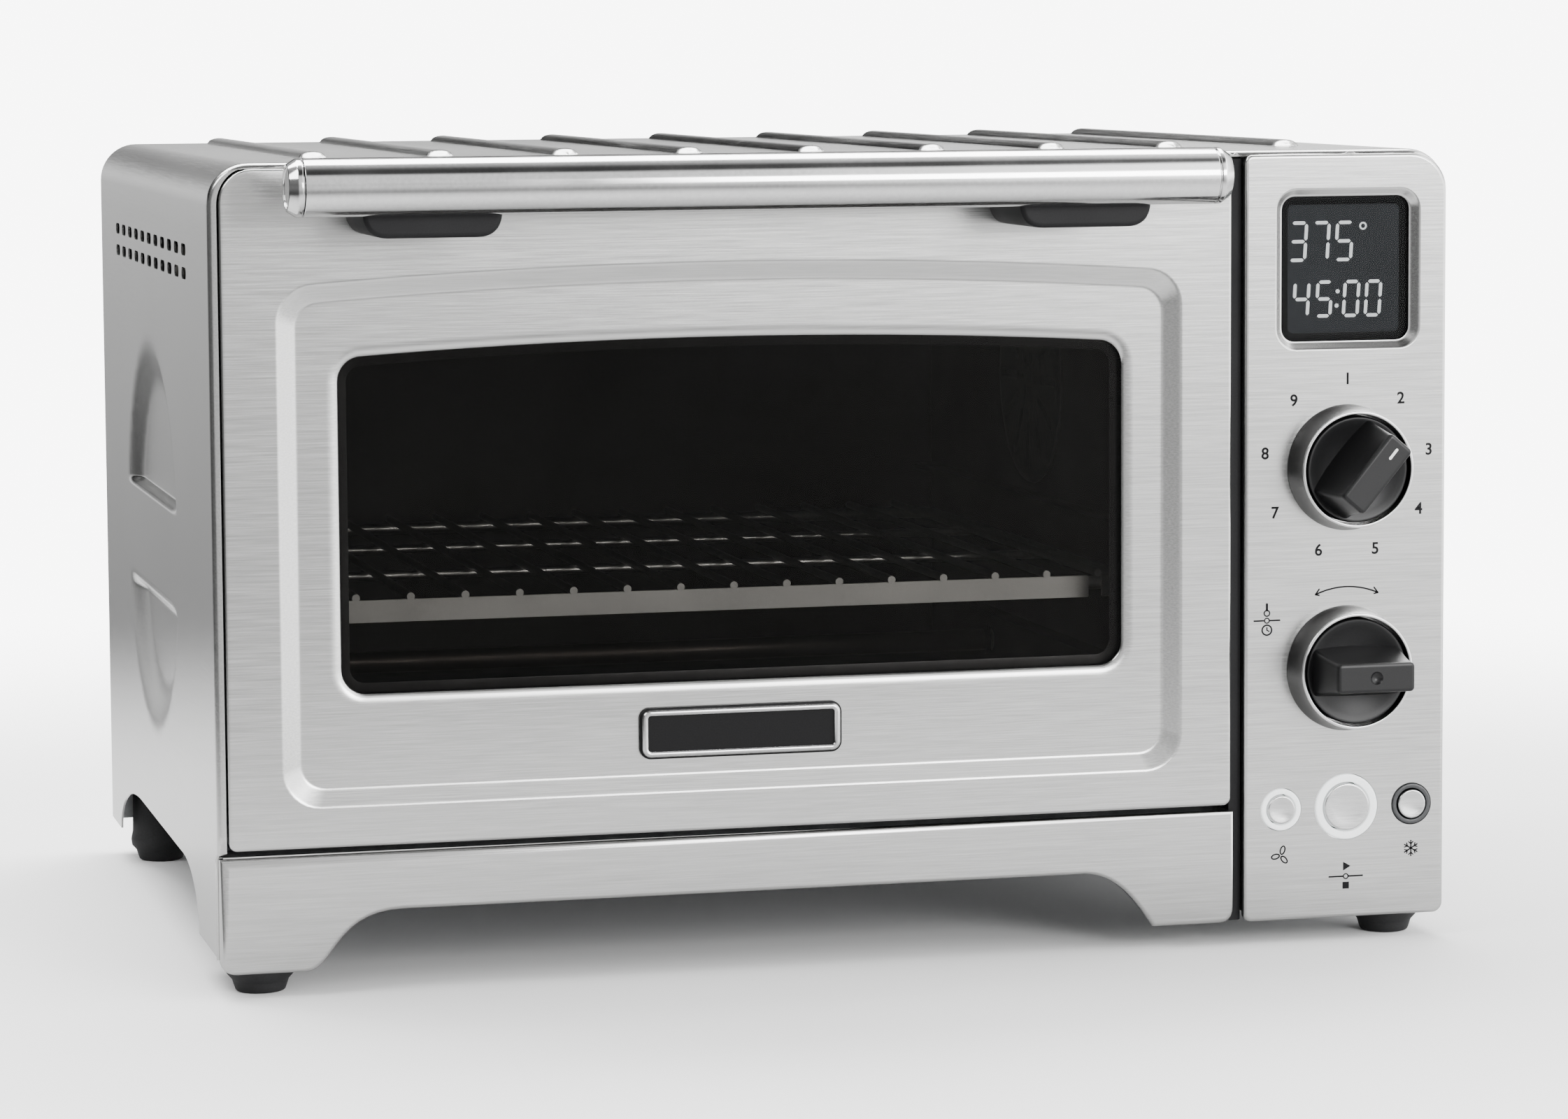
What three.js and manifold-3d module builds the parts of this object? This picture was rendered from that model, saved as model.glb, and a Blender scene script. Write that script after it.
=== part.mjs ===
// Countertop toaster oven: steel cabinet, drop-down glazed door with a bar handle, control column
// with two knobs and three push buttons, wire rack, four heaters and a convection fan.
// Millimetres. +X right, +Z up, the door faces -Y, origin at the middle of the footprint.
import * as THREE from "three";
import { mergeVertices } from "three/addons/utils/BufferGeometryUtils.js";
import Module from "manifold-3d";

const wasm = await Module();
wasm.setup();

// ---------------------------------------------------------------- driving dimensions
const HALF_WIDTH = 235;            // cabinet half width
const TOP = 301;                   // cabinet roof, without its ribs
const SHEET = 0.8;                 // folded steel sheet
const GAP = 0.3;                   // between pieces that touch
const FACE = -145.6;               // front plane of door, base panel and control panel
const WRAP = { front: -142.6, back: 196.4, bottom: 14.3, corner: 15 };
const RIB = { first: -186, pitch: 47.8, count: 9, front: -78, back: 190, height: 2.5, half: 4.4 };
const VENT = { first: -76, pitch: 21.2, count: 11, rows: [267.8, 259], long: 13, high: 4.2 };
const GRIP = { y: 36.4, z: 150.5, along: 81, up: 78, lip: 165.5, sill: 130, depth: 3 };
const SIDE_ARCH = { front: -88.6, back: 164, top: 37.5, frontRun: 45, backRun: 75 };
const BASE = { left: -HALF_WIDTH, right: 150.4, bottom: 8.8, top: 51.6, arch: 30.1, flange: 17 };
const FLOOR = { z: 39, front: -124, back: 189.5, lip: 51.8 };
const FOOT = { x: 218, front: -127.6, back: 168, pad: 9, wide: 12.5, rim: 8.8 };
const REAR = { front: 190, back: 191.2, bottom: 14.3, half: 233.3, reach: 199.9 };
const REAR_ARCH = { x: 150, run: 30, rise: 16 };
const LOUVRE = { rows: [110, 122, 134], first: -190, pitch: 38, count: 8, long: 26, high: 4 };
const SPACER = { half: 70, low: 238, high: 254 };
const GLAND = { x: 198, z: 62, bore: 3.8, neck: 8, head: 11, tip: 6.5 };
const SCREW = { r: 3.6, head: 2.3 };
const BACK_SCREWS = {
  low_left: [-215, 52], low_right: [215, 100], top_left: [-215, 270], top_right: [215, 270],
};

const DOOR = { left: -231, right: 149.2, bottom: 53.7, top: 298.9, depth: 12, bottomDepth: 8 };
const DOOR_X = (DOOR.left + DOOR.right) / 2;
const PRESS = { outer: 170.5, inner: 163, low: 68, high: 257.8, crown: 5.5, depth: 2.5, slope: 7.2 };
const GLASS = { half: 150.8, low: 105.7, high: 234, crown: 4.3, corner: 12, thick: 3, set: 4.6 };
const HINGE = { y: -139.6, z: 65.5, pin: 2.5, offset: 172 };
const BAR = { y: -189.6, z: 293.3, r: 10.3, wall: 1.2, half: 166.8 };
const CAP = { ring: 2.1, deep: 5.4, tip: 8.4 };
const BRACKET = { offset: 120, width: 52, bottom: 275, top: 293, front: -186, corner: 7 };
const PLATE = { z: 90.2, width: 76.5, height: 19, thick: 2 };

const CAVITY = { left: -205, right: 125, front: -123.8, back: 180, floor: 75, roof: 270 };
const FRAME = { front: -125.3, left: -233.3, right: 149, bottom: 53, top: 299.2 };
const LEDGE = { heights: [104.2, 134.2, 158.2], reach: 9, thick: 2.4, front: -110, back: 176 };
const TRAY = { left: -194, right: 114, floor: 60, rim: 67, back: 172 };
const HEATER = { r: 4.5, cap: 7, rows: { upper: 255, lower: 90 }, spots: { front: -60, rear: 90 } };
const PROBE = { y: -20, z: 262, r: 2, long: 60, head: 6 };
const FAN = { y: 30, z: 205, hole: 40, shaft: 3, hub: 9, deep: 12 };
const FAN_BLADE = { count: 6, thick: 1.4, wide: 15, long: 29, at: 22, twist: 0.5 };
const FAN_COVER = { r: 43, thick: 1.5, reach: 36, slots: [0, 10, -10, 20, -20, 30, -30], high: 5 };
const HOUSING = { depth: 19, inner: 43, outer: 44.5, rim: 48, bore: 5, sheet: 1.5 };
const MOTOR = { neck: 12, r: 21, step: 4, long: 28, bore: 10 };
const RACK = {
  left: -200, right: 120, front: -116, back: 168, rod: 2.5, z: 137,
  wire: 1.6, first: -179.7, pitch: 20.3, count: 15, railLow: 132, railHigh: 140.2,
};

const PANEL = { left: 154.5, right: HALF_WIDTH, bottom: 8.6, top: 299.4, corner: 14.5 };
const SCREEN = { left: 168.6, right: 221.3, bottom: 228.1, top: 285.2 };
const KNOB = { x: 195.4, upper: 181, lower: 104.5, base: 24, rim: 21.84, proud: 12.2, reach: 32,
  push: 2, shaft: 3 };
const BUTTONS = {
  z: 51.2, travel: 1.5, switchTop: -133,
  left: { x: 169.2, ring: 8, cap: 5.8 },
  middle: { x: 195.5, ring: 12.5, cap: 9.4 },
  right: { x: 221.9, ring: 7.8, cap: 5.9 },
};

const BOARD = { left: 158, right: 231, bottom: 42, top: 290, front: -129, thick: 1.6 };
const POWER = {
  x: 222, thick: 1.6, front: -70, back: 60, bottom: 70, top: 210,
  parts: [[26, -55, -15, 90, 130], [16, 0, 18, 92, 110], [16, 24, 42, 92, 110],
    [12, -50, -10, 150, 190]],
};
const DIVIDER = { left: 149.6, front: FACE + 4, back: FACE + 8, bottom: 9, top: 298 };

// ---------------------------------------------------------------- solids
const AXIS = {
  x: new THREE.Vector3(1, 0, 0),
  y: new THREE.Vector3(0, 1, 0),
  z: new THREE.Vector3(0, 0, 1),
};

function solid(geometry) {
  geometry.deleteAttribute("normal");
  geometry.deleteAttribute("uv");
  const merged = mergeVertices(geometry, 1e-4);
  return new wasm.Manifold(new wasm.Mesh({
    numProp: 3,
    vertProperties: new Float32Array(merged.attributes.position.array),
    triVerts: new Uint32Array(merged.index.array),
  }));
}

function join(...bodies) {
  return bodies.reduce((whole, body) => whole.add(body));
}

function cut(body, ...tools) {
  return tools.reduce((left, tool) => left.subtract(tool), body);
}

function box(x0, x1, y0, y1, z0, z1) {
  const geometry = new THREE.BoxGeometry(x1 - x0, y1 - y0, z1 - z0);
  geometry.translate((x0 + x1) / 2, (y0 + y1) / 2, (z0 + z1) / 2);
  return solid(geometry);
}

// A box whose front face (towards -Y) is smaller than its back face, turned about Y.
function taperedBlade(x, z, back, front, turn) {
  const geometry = new THREE.BoxGeometry(1, 1, 1);
  const position = geometry.attributes.position;
  for (let i = 0; i < position.count; i++) {
    const end = position.getY(i) < 0 ? front : back;
    position.setXYZ(i, position.getX(i) * end.width, end.y, position.getZ(i) * end.length);
  }
  geometry.rotateY(turn);
  geometry.translate(x, 0, z);
  return solid(geometry);
}

function arc(cx, cy, rx, ry, from, to, steps) {
  const points = [];
  for (let i = 0; i <= steps; i++) {
    const angle = from + (to - from) * i / steps;
    points.push(new THREE.Vector2(cx + rx * Math.cos(angle), cy + ry * Math.sin(angle)));
  }
  return points;
}

// Rectangle with its own radius at each corner, anticlockwise from the bottom left.
function roundedPoints(x0, x1, z0, z1, [bl, br, tr, tl], steps = 5) {
  const quarter = Math.PI / 2;
  return [
    ...arc(x0 + bl, z0 + bl, bl, bl, 2 * quarter, 3 * quarter, steps),
    ...arc(x1 - br, z0 + br, br, br, 3 * quarter, 4 * quarter, steps),
    ...arc(x1 - tr, z1 - tr, tr, tr, 0, quarter, steps),
    ...arc(x0 + tl, z1 - tl, tl, tl, quarter, 2 * quarter, steps),
  ];
}

// Rounded rectangle whose upper edge bows upwards by `crown` at the middle.
function crownedPoints(half, z0, z1, crown, r, steps = 5) {
  const flat = half - r;
  const bow = [];
  for (let i = 1; i < 10; i++) {
    const x = flat - 2 * flat * i / 10;
    bow.push(new THREE.Vector2(DOOR_X + x, z1 + crown * (1 - (x / flat) ** 2)));
  }
  const points = roundedPoints(DOOR_X - half, DOOR_X + half, z0, z1, [r, r, r, r], steps);
  points.splice(3 * (steps + 1), 0, ...bow);
  return points;
}

const PLANES = {
  y: new THREE.Matrix4().makeBasis(AXIS.x, AXIS.z, AXIS.y.clone().negate()),
  x: new THREE.Matrix4().makeBasis(AXIS.y, AXIS.z, AXIS.x),
  z: new THREE.Matrix4(),
};

// Extrudes an outline between two places on an axis: across X the outline is (y, z),
// across Y it is (x, z), across Z it is (x, y).
function slab(axis, points, low, high) {
  const geometry = new THREE.ExtrudeGeometry(new THREE.Shape(points), {
    depth: high - low, bevelEnabled: false, curveSegments: 8,
  });
  geometry.translate(0, 0, axis === "y" ? -high : low);
  geometry.applyMatrix4(PLANES[axis]);
  return solid(geometry);
}

// A turned solid: profile points are [radius, place on the axis].
function turned(axis, profile, centre, segments = 24) {
  const points = profile.map(([r, at]) => new THREE.Vector2(r, at));
  const geometry = new THREE.LatheGeometry(points, segments);
  if (axis === "x") geometry.rotateZ(-Math.PI / 2);
  if (axis === "z") geometry.rotateX(Math.PI / 2);
  geometry.translate(...centre);
  const body = solid(geometry);
  return body.volume() < 0 ? solid(flipped(geometry)) : body;
}

function flipped(geometry) {
  const index = geometry.index.array;
  for (let i = 0; i < index.length; i += 3) {
    [index[i], index[i + 1]] = [index[i + 1], index[i]];
  }
  return geometry;
}

function rod(axis, r, low, high, centre, segments = 16) {
  return turned(axis, [[0, low], [r, low], [r, high], [0, high]], centre, segments);
}

// ---------------------------------------------------------------- materials
const FINISH = {
  brushed: { color: 0xb9b9b8, roughness: 0.32, metalness: 1 },
  polished: { color: 0xd4d4d4, roughness: 0.12, metalness: 1 },
  aluminised: { color: 0x8d8f90, roughness: 0.45, metalness: 1 },
  black: { color: 0x1c1c1d, roughness: 0.45, metalness: 0 },
  rubber: { color: 0x161616, roughness: 0.8, metalness: 0 },
  glass: { color: 0x101214, roughness: 0.05, metalness: 0, transparent: true, opacity: 0.4 },
  ring: { color: 0xf2f4f5, roughness: 0.35, metalness: 0 },
  board: { color: 0x1f4d33, roughness: 0.6, metalness: 0 },
  chrome: { color: 0xcfd2d4, roughness: 0.15, metalness: 1 },
};

const oven = new THREE.Group();

function place(name, finish, body) {
  const mesh = body.getMesh();
  const geometry = new THREE.BufferGeometry();
  geometry.setAttribute("position", new THREE.BufferAttribute(mesh.vertProperties, 3));
  geometry.setIndex(new THREE.BufferAttribute(mesh.triVerts, 1));
  const piece = new THREE.Mesh(geometry, new THREE.MeshStandardMaterial(FINISH[finish]));
  piece.name = name;
  oven.add(piece);
}

// ---------------------------------------------------------------- cabinet
function cabinetWrapper() {
  const { front, back, bottom, corner } = WRAP;
  const section = (half, top, r) => [
    new THREE.Vector2(half, bottom),
    ...arc(half - r, top - r, r, r, 0, Math.PI / 2, 6),
    ...arc(-half + r, top - r, r, r, Math.PI / 2, Math.PI, 6),
    new THREE.Vector2(-half, bottom),
  ];
  const inner = section(HALF_WIDTH - SHEET, TOP - SHEET, corner - SHEET).reverse();
  let body = slab("y", [...section(HALF_WIDTH, TOP, corner), ...inner], front, back);
  for (let i = 0; i < RIB.count; i++) {
    const x = RIB.first + i * RIB.pitch;
    const lift = TOP - SHEET / 2;
    const outline = [
      new THREE.Vector2(x - RIB.half, lift), new THREE.Vector2(x + RIB.half, lift),
      new THREE.Vector2(x + RIB.half / 2, TOP + RIB.height),
      new THREE.Vector2(x - RIB.half / 2, TOP + RIB.height),
    ];
    body = body.add(slab("y", outline, RIB.front, RIB.back));
  }
  for (const side of [-1, 1]) {
    body = gripPressing(body, side);
    for (const z of VENT.rows) {
      for (let i = 0; i < VENT.count; i++) {
        const y = VENT.first + i * VENT.pitch;
        const x = side * HALF_WIDTH;
        body = body.subtract(box(x - 2, x + 2, y - VENT.long / 2, y + VENT.long / 2,
          z - VENT.high / 2, z + VENT.high / 2));
      }
    }
  }
  const reach = HALF_WIDTH + 5;
  const below = bottom - 5;
  const { front: a, back: b, top, frontRun, backRun } = SIDE_ARCH;
  const arch = [
    new THREE.Vector2(a, below), new THREE.Vector2(b, below),
    ...arc(b - backRun, bottom, backRun, top - bottom, 0, Math.PI / 2, 8),
    ...arc(a + frontRun, bottom, frontRun, top - bottom, Math.PI / 2, Math.PI, 8),
  ];
  return body.subtract(slab("x", arch, -reach, reach));
}

// Two D-shaped dishes, above and below a plain band, pressed into the side as a hand grip.
function gripPressing(body, side) {
  const dish = (grow, from, to) => {
    const outline = arc(GRIP.y, GRIP.z, GRIP.along + grow, GRIP.up + grow, 0, 2 * Math.PI, 28);
    outline.pop();
    const low = Math.min(side * from, side * to);
    const high = Math.max(side * from, side * to);
    const oval = slab("x", outline, low, high);
    const span = GRIP.along + 10;
    const bands = [[GRIP.lip - grow, GRIP.z + 100], [GRIP.z - 100, GRIP.sill + grow]];
    return bands.map(([z0, z1]) => oval.intersect(
      box(low - 1, high + 1, GRIP.y - span, GRIP.y + span, z0, z1)));
  };
  const inside = HALF_WIDTH - SHEET;
  const backs = dish(SHEET, inside + SHEET / 2, inside - GRIP.depth);
  const hollows = dish(0, HALF_WIDTH + 1, HALF_WIDTH - GRIP.depth);
  return cut(join(body, ...backs), ...hollows);
}

function backPanel() {
  const r = WRAP.corner - SHEET - GAP;
  const outline = roundedPoints(-REAR.half, REAR.half, REAR.bottom, TOP - SHEET - GAP, [2, 2, r, r]);
  let body = slab("y", outline, REAR.front, REAR.back);
  const { x: archX, run, rise } = REAR_ARCH;
  const arch = [
    ...arc(-archX, REAR.bottom, run, rise, Math.PI, Math.PI / 2, 6),
    ...arc(archX, REAR.bottom, run, rise, Math.PI / 2, 0, 6),
    new THREE.Vector2(archX + run, 0), new THREE.Vector2(-archX - run, 0),
  ];
  body = body.subtract(slab("y", arch, REAR.front - 1, REAR.back + 1));
  for (const z of LOUVRE.rows) {
    for (let i = 0; i < LOUVRE.count; i++) {
      const x = LOUVRE.first + i * LOUVRE.pitch;
      body = body.subtract(
        box(x, x + LOUVRE.long, REAR.front - 1, REAR.back + 1, z, z + LOUVRE.high));
    }
  }
  const hole = GLAND.neck + 0.4;
  return body.subtract(rod("y", hole, REAR.front - 1, REAR.back + 1, [GLAND.x, 0, GLAND.z]));
}

function cordGland() {
  const { bore, neck, head, tip } = GLAND;
  const inside = REAR.front - 6;
  const collar = REAR.back + GAP;
  const profile = [
    [bore, inside], [neck, inside], [neck, collar], [head, collar], [head, collar + 4],
    [neck + 0.5, collar + 5.5], [tip, REAR.reach], [bore, REAR.reach], [bore, inside],
  ];
  return turned("y", profile, [GLAND.x, 0, GLAND.z], 20);
}

function basePanel() {
  const { left, right, bottom, top, arch, flange } = BASE;
  const steps = 8;
  const rise = new THREE.CubicBezierCurve(
    new THREE.Vector2(-168, arch), new THREE.Vector2(-193, arch),
    new THREE.Vector2(-193, 10), new THREE.Vector2(-203, bottom)).getPoints(steps);
  const fall = new THREE.CubicBezierCurve(
    new THREE.Vector2(118.4, bottom), new THREE.Vector2(112, 18),
    new THREE.Vector2(105, 29), new THREE.Vector2(91.8, arch)).getPoints(steps);
  const outline = [
    ...arc(left + 5, bottom + 5, 5, 5, Math.PI, 1.5 * Math.PI, 4),
    ...rise.reverse(), ...fall.reverse(),
    ...arc(right - 4, bottom + 4, 4, 4, -Math.PI / 2, 0, 4),
    new THREE.Vector2(right, top), new THREE.Vector2(left, top),
  ];
  const back = FACE + SHEET + 0.4;
  return join(
    slab("y", outline, FACE, back),
    box(left + 2, right - 1, FACE + 0.5, FACE + flange, top - SHEET, top),
    box(left, left + SHEET, FACE + 0.5, WRAP.front - GAP, bottom + 5, top));
}

function floorPan() {
  const { z, front, back, lip } = FLOOR;
  return join(
    box(-REAR.half, REAR.half, front, back, z, z + SHEET),
    box(-REAR.half, DOOR.right, front, front + SHEET, z, lip));
}

function foot(x, y) {
  const top = FLOOR.z - GAP;
  const profile = [
    [0, 0], [FOOT.pad, 0], [FOOT.pad + 0.8, 2.5], [FOOT.wide, FOOT.rim],
    [7, FOOT.rim + 3], [6, top - 3], [8.5, top], [0, top],
  ];
  return turned("z", profile, [x, y, 0], 20);
}

function controlPanel() {
  const { left, right, bottom, top, corner } = PANEL;
  const back = FACE + SHEET + 0.4;
  const outline = roundedPoints(left, right, bottom, top, [3, 4, corner, 3]);
  let body = join(
    slab("y", outline, FACE, back),
    box(left, left + SHEET, FACE + 0.5, FACE + 8, bottom + 4, top - 4),
    box(right - SHEET, right, FACE + 0.5, WRAP.front - GAP, bottom + 5, top - corner));
  body = body.subtract(box(SCREEN.left, SCREEN.right, FACE - 1, back + 1, SCREEN.bottom, SCREEN.top));
  for (const z of [KNOB.upper, KNOB.lower]) {
    body = body.subtract(rod("y", 5, FACE - 1, back + 1, [KNOB.x, 0, z]));
  }
  for (const { x, ring } of [BUTTONS.left, BUTTONS.middle, BUTTONS.right]) {
    body = body.subtract(rod("y", ring + GAP, FACE - 1, back + 1, [x, 0, BUTTONS.z], 24));
  }
  return body;
}

// ---------------------------------------------------------------- cavity
function frontFrame() {
  const { front, left, right, bottom, top } = FRAME;
  const r = WRAP.corner - SHEET - GAP;
  const back = front + SHEET;
  return cut(
    slab("y", roundedPoints(left, right, bottom, top, [1, 1, 1, r]), front, back),
    box(CAVITY.left, CAVITY.right, front - 1, back + 1, CAVITY.floor, CAVITY.roof),
    box(TRAY.left - 1, TRAY.right + 1, front - 1, back + 1, TRAY.floor - 1, TRAY.rim + 1));
}

function cavityLiner() {
  const { left, right, front, back, floor, roof } = CAVITY;
  let body = cut(
    box(left - SHEET, right + SHEET, front, back + SHEET, floor - SHEET, roof + SHEET),
    box(left, right, front - 1, back, floor, roof));
  for (const z of LEDGE.heights) {
    const z0 = z - LEDGE.thick;
    body = join(body,
      box(left - SHEET / 2, left + LEDGE.reach, LEDGE.front, LEDGE.back, z0, z),
      box(right - LEDGE.reach, right + SHEET / 2, LEDGE.front, LEDGE.back, z0, z));
  }
  for (const z of Object.values(HEATER.rows)) {
    for (const y of Object.values(HEATER.spots)) {
      body = body.subtract(rod("x", HEATER.r + 0.7, left - 3, right + 3, [0, y, z], 12));
    }
  }
  return body.subtract(rod("x", FAN.hole, right - 2, right + 3, [0, FAN.y, FAN.z], 28));
}

function heater(y, z) {
  const out = SHEET + GAP;
  const a = CAVITY.left - out;
  const b = CAVITY.right + out;
  const profile = [
    [0, a - 12], [HEATER.cap, a - 12], [HEATER.cap, a], [HEATER.r, a],
    [HEATER.r, b], [HEATER.cap, b], [HEATER.cap, b + 12], [0, b + 12],
  ];
  return turned("x", profile, [0, y, z], 12);
}

function probe() {
  const { y, z, r, long, head } = PROBE;
  const wall = CAVITY.right - GAP;
  const profile = [
    [0, wall - long], [r, wall - long], [r, wall - 4], [head, wall - 4], [head, wall], [0, wall],
  ];
  return turned("x", profile, [0, y, z], 12);
}

function crumbTray() {
  const { left, right, floor, rim, back } = TRAY;
  const front = FRAME.front - GAP;
  return join(
    cut(box(left, right, front - SHEET / 2, back, floor, rim),
      box(left + SHEET, right - SHEET, front + SHEET, back - SHEET, floor + SHEET, rim + 1)),
    box(left - 4, right + 4, front - SHEET, front, floor - 4, rim + 3));
}

function wireRack() {
  const { left, right, front, back, rod: r, z, wire, first, pitch, count } = RACK;
  const top = z + r;
  let body = join(
    rod("x", r, left, right, [0, front, z], 8),
    rod("x", r, left, right, [0, back, z], 8),
    rod("y", r, front, back, [left, 0, z], 8),
    rod("y", r, front, back, [right, 0, z], 8));
  for (let i = 0; i < count; i++) {
    const x = first + i * pitch;
    body = body.add(rod("y", wire, front - r - 0.5, back + 2, [x, 0, top], 6));
  }
  const face = front - r - 1.6;
  const rail = (x0, x1) => box(x0, x1, face, front - r / 2, RACK.railLow, RACK.railHigh);
  return join(body, rail(-183, 101), rail(106.4, right + r), rail(left - r, -188.4));
}

// ---------------------------------------------------------------- convection fan
const FAN_BACK = CAVITY.right + SHEET + HOUSING.depth;

function fanCover() {
  const { r, thick, reach, slots, high } = FAN_COVER;
  const face = CAVITY.right - GAP;
  let body = rod("x", r, face - thick, face, [0, FAN.y, FAN.z], 28);
  for (const offset of slots) {
    const half = Math.sqrt(reach ** 2 - offset ** 2);
    const z = FAN.z + offset;
    body = body.subtract(
      box(face - 3, face + 1, FAN.y - half, FAN.y + half, z - high / 2, z + high / 2));
  }
  return body;
}

function fanHousing() {
  const { inner, outer, rim, bore, sheet } = HOUSING;
  const a = CAVITY.right + SHEET + GAP;
  const profile = [
    [inner, a], [rim, a], [rim, a + sheet], [outer, a + sheet], [outer, FAN_BACK],
    [bore, FAN_BACK], [bore, FAN_BACK - sheet], [inner, FAN_BACK - sheet], [inner, a],
  ];
  return turned("x", profile, [0, FAN.y, FAN.z], 24);
}

function fanWheel() {
  const { count, thick, wide, long, at, twist } = FAN_BLADE;
  const a = CAVITY.right + SHEET + 3;
  let body = join(
    rod("x", FAN.hub, a, a + FAN.deep, [0, FAN.y, FAN.z], 16),
    rod("x", FAN.shaft, a + 4, FAN_BACK + 8, [0, FAN.y, FAN.z], 16));
  for (let i = 0; i < count; i++) {
    const blade = new THREE.BoxGeometry(thick, wide, long);
    blade.rotateZ(twist);
    blade.translate(a + FAN.deep / 2, 0, at);
    blade.rotateX(i * 2 * Math.PI / count);
    blade.translate(0, FAN.y, FAN.z);
    body = body.add(solid(blade));
  }
  return body;
}

function fanMotor() {
  const { neck, r, step, long, bore } = MOTOR;
  const a = FAN_BACK + GAP;
  const socket = FAN.shaft + 0.4;
  const profile = [
    [socket, a], [neck, a], [neck, a + step], [r, a + step], [r, a + long], [0, a + long],
    [0, a + bore], [socket, a + bore], [socket, a],
  ];
  return turned("x", profile, [0, FAN.y, FAN.z], 20);
}

// ---------------------------------------------------------------- door
function doorPanel() {
  const { left, right, bottom, top, depth, bottomDepth } = DOOR;
  const back = FACE + depth;
  const outer = roundedPoints(left, right, bottom, top, [3, 3, 3, 12]);
  const inner = roundedPoints(left + SHEET, right - SHEET, bottom + SHEET, top - SHEET, [2, 2, 2, 11]);
  const pad = crownedPoints(PRESS.outer, PRESS.low, PRESS.high, PRESS.crown, 14);
  const dish = crownedPoints(PRESS.inner, PRESS.low + PRESS.slope, PRESS.high - PRESS.slope,
    PRESS.crown, 9);
  const glass = crownedPoints(GLASS.half, GLASS.low, GLASS.high, GLASS.crown, GLASS.corner);
  const skin = FACE + PRESS.depth + SHEET;
  let body = cut(
    slab("y", outer, FACE, back),
    slab("y", inner, FACE + SHEET, back + 1));
  body = join(body, slab("y", pad, FACE + SHEET / 2, skin));
  body = cut(body,
    slab("y", dish, FACE - 1, FACE + PRESS.depth),
    slab("y", glass, FACE - 1, back + 1),
    box(left - 1, right + 1, FACE + bottomDepth, back + 1, bottom - 1, bottom + SHEET + 0.2));
  for (const side of [-1, 1]) {
    const x = DOOR_X + side * HINGE.offset;
    body = body.subtract(box(x - 4, x + 4, FACE + SHEET, back + 1, bottom - 1, bottom + 4));
  }
  return body;
}

function doorGlass(front) {
  const rim = 4;
  const outline = crownedPoints(GLASS.half + rim, GLASS.low - rim, GLASS.high + rim, GLASS.crown, 14);
  return slab("y", outline, front, front + GLASS.thick);
}

function doorInnerFrame() {
  const plateFront = FACE + DOOR.depth + GAP;
  const padBack = -125.6;
  const { left, right, top } = DOOR;
  const plate = roundedPoints(left + GAP, right - GAP, HINGE.z - 8, top - GAP, [1, 1, 1, 12]);
  const pad = roundedPoints(left + 12, right - 12, HINGE.z + 6, top - 12, [6, 6, 6, 6]);
  const glass = crownedPoints(GLASS.half - 3, GLASS.low + 3, GLASS.high - 3, GLASS.crown, 10);
  const hollowRim = roundedPoints(left + 13, right - 13, HINGE.z + 7, top - 13, [5, 5, 5, 5]);
  const glassRim = crownedPoints(GLASS.half - 2, GLASS.low + 2, GLASS.high - 2, GLASS.crown, 11);
  const hollow = slab("y", hollowRim, plateFront - 1, padBack - 1).subtract(
    slab("y", glassRim, plateFront - 2, padBack));
  let body = join(
    slab("y", plate, plateFront, plateFront + SHEET),
    slab("y", pad, plateFront + SHEET / 2, padBack));
  body = cut(body, hollow, slab("y", glass, plateFront - 1, padBack + 1));
  for (const side of [-1, 1]) {
    const x = DOOR_X + side * HINGE.offset;
    body = body.subtract(box(x - 4, x + 4, plateFront - 1, padBack + 1, HINGE.z - 9, HINGE.z + 6));
  }
  return body;
}

function hingeBracket(side) {
  const x = DOOR_X + side * HINGE.offset;
  const nose = 3.5;
  const outline = [
    ...arc(HINGE.y, HINGE.z, nose, nose, Math.PI / 2, 1.5 * Math.PI, 6),
    new THREE.Vector2(FRAME.front - GAP, HINGE.z - nose),
    new THREE.Vector2(FRAME.front - GAP, HINGE.z + nose),
  ];
  const pin = [x + side * 9, x - side * 0.5].sort((a, b) => a - b);
  return join(
    slab("x", outline, x - 1, x + 1),
    rod("x", HINGE.pin, pin[0], pin[1], [0, HINGE.y, HINGE.z], 16));
}

function hingeArm(side) {
  const x = DOOR_X + side * (HINGE.offset + 7);
  const front = FACE + SHEET + GAP;
  const outline = [
    new THREE.Vector2(front, HINGE.z - 6), new THREE.Vector2(HINGE.y + 6, HINGE.z - 6),
    new THREE.Vector2(HINGE.y + 6, HINGE.z + 20), new THREE.Vector2(front, HINGE.z + 20),
  ];
  const plate = slab("x", outline, x - 1, x + 1);
  return plate.subtract(rod("x", HINGE.pin + GAP, x - 3, x + 3, [0, HINGE.y, HINGE.z], 16));
}

function handleBar() {
  const [a, b] = [DOOR_X - BAR.half, DOOR_X + BAR.half];
  const bore = BAR.r - BAR.wall;
  const profile = [[bore, a], [BAR.r, a], [BAR.r, b], [bore, b], [bore, a]];
  return turned("x", profile, [0, BAR.y, BAR.z], 28);
}

function handleCap(side) {
  const at = (d) => DOOR_X + side * (BAR.half + GAP + d);
  const profile = [
    [0, at(0)], [BAR.r, at(0)], [BAR.r, at(CAP.ring)], [CAP.tip, at(CAP.deep)], [0, at(CAP.deep)],
  ];
  return turned("x", profile, [0, BAR.y, BAR.z], 28);
}

function handleBracket(side) {
  const x = DOOR_X + side * BRACKET.offset;
  const half = BRACKET.width / 2;
  const r = BRACKET.corner;
  const outline = roundedPoints(x - half, x + half, BRACKET.bottom, BRACKET.top, [r, r, 2, 2]);
  return cut(
    slab("y", outline, BRACKET.front, FACE - GAP),
    rod("x", BAR.r + GAP, x - half - 5, x + half + 5, [0, BAR.y, BAR.z], 28));
}

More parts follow.
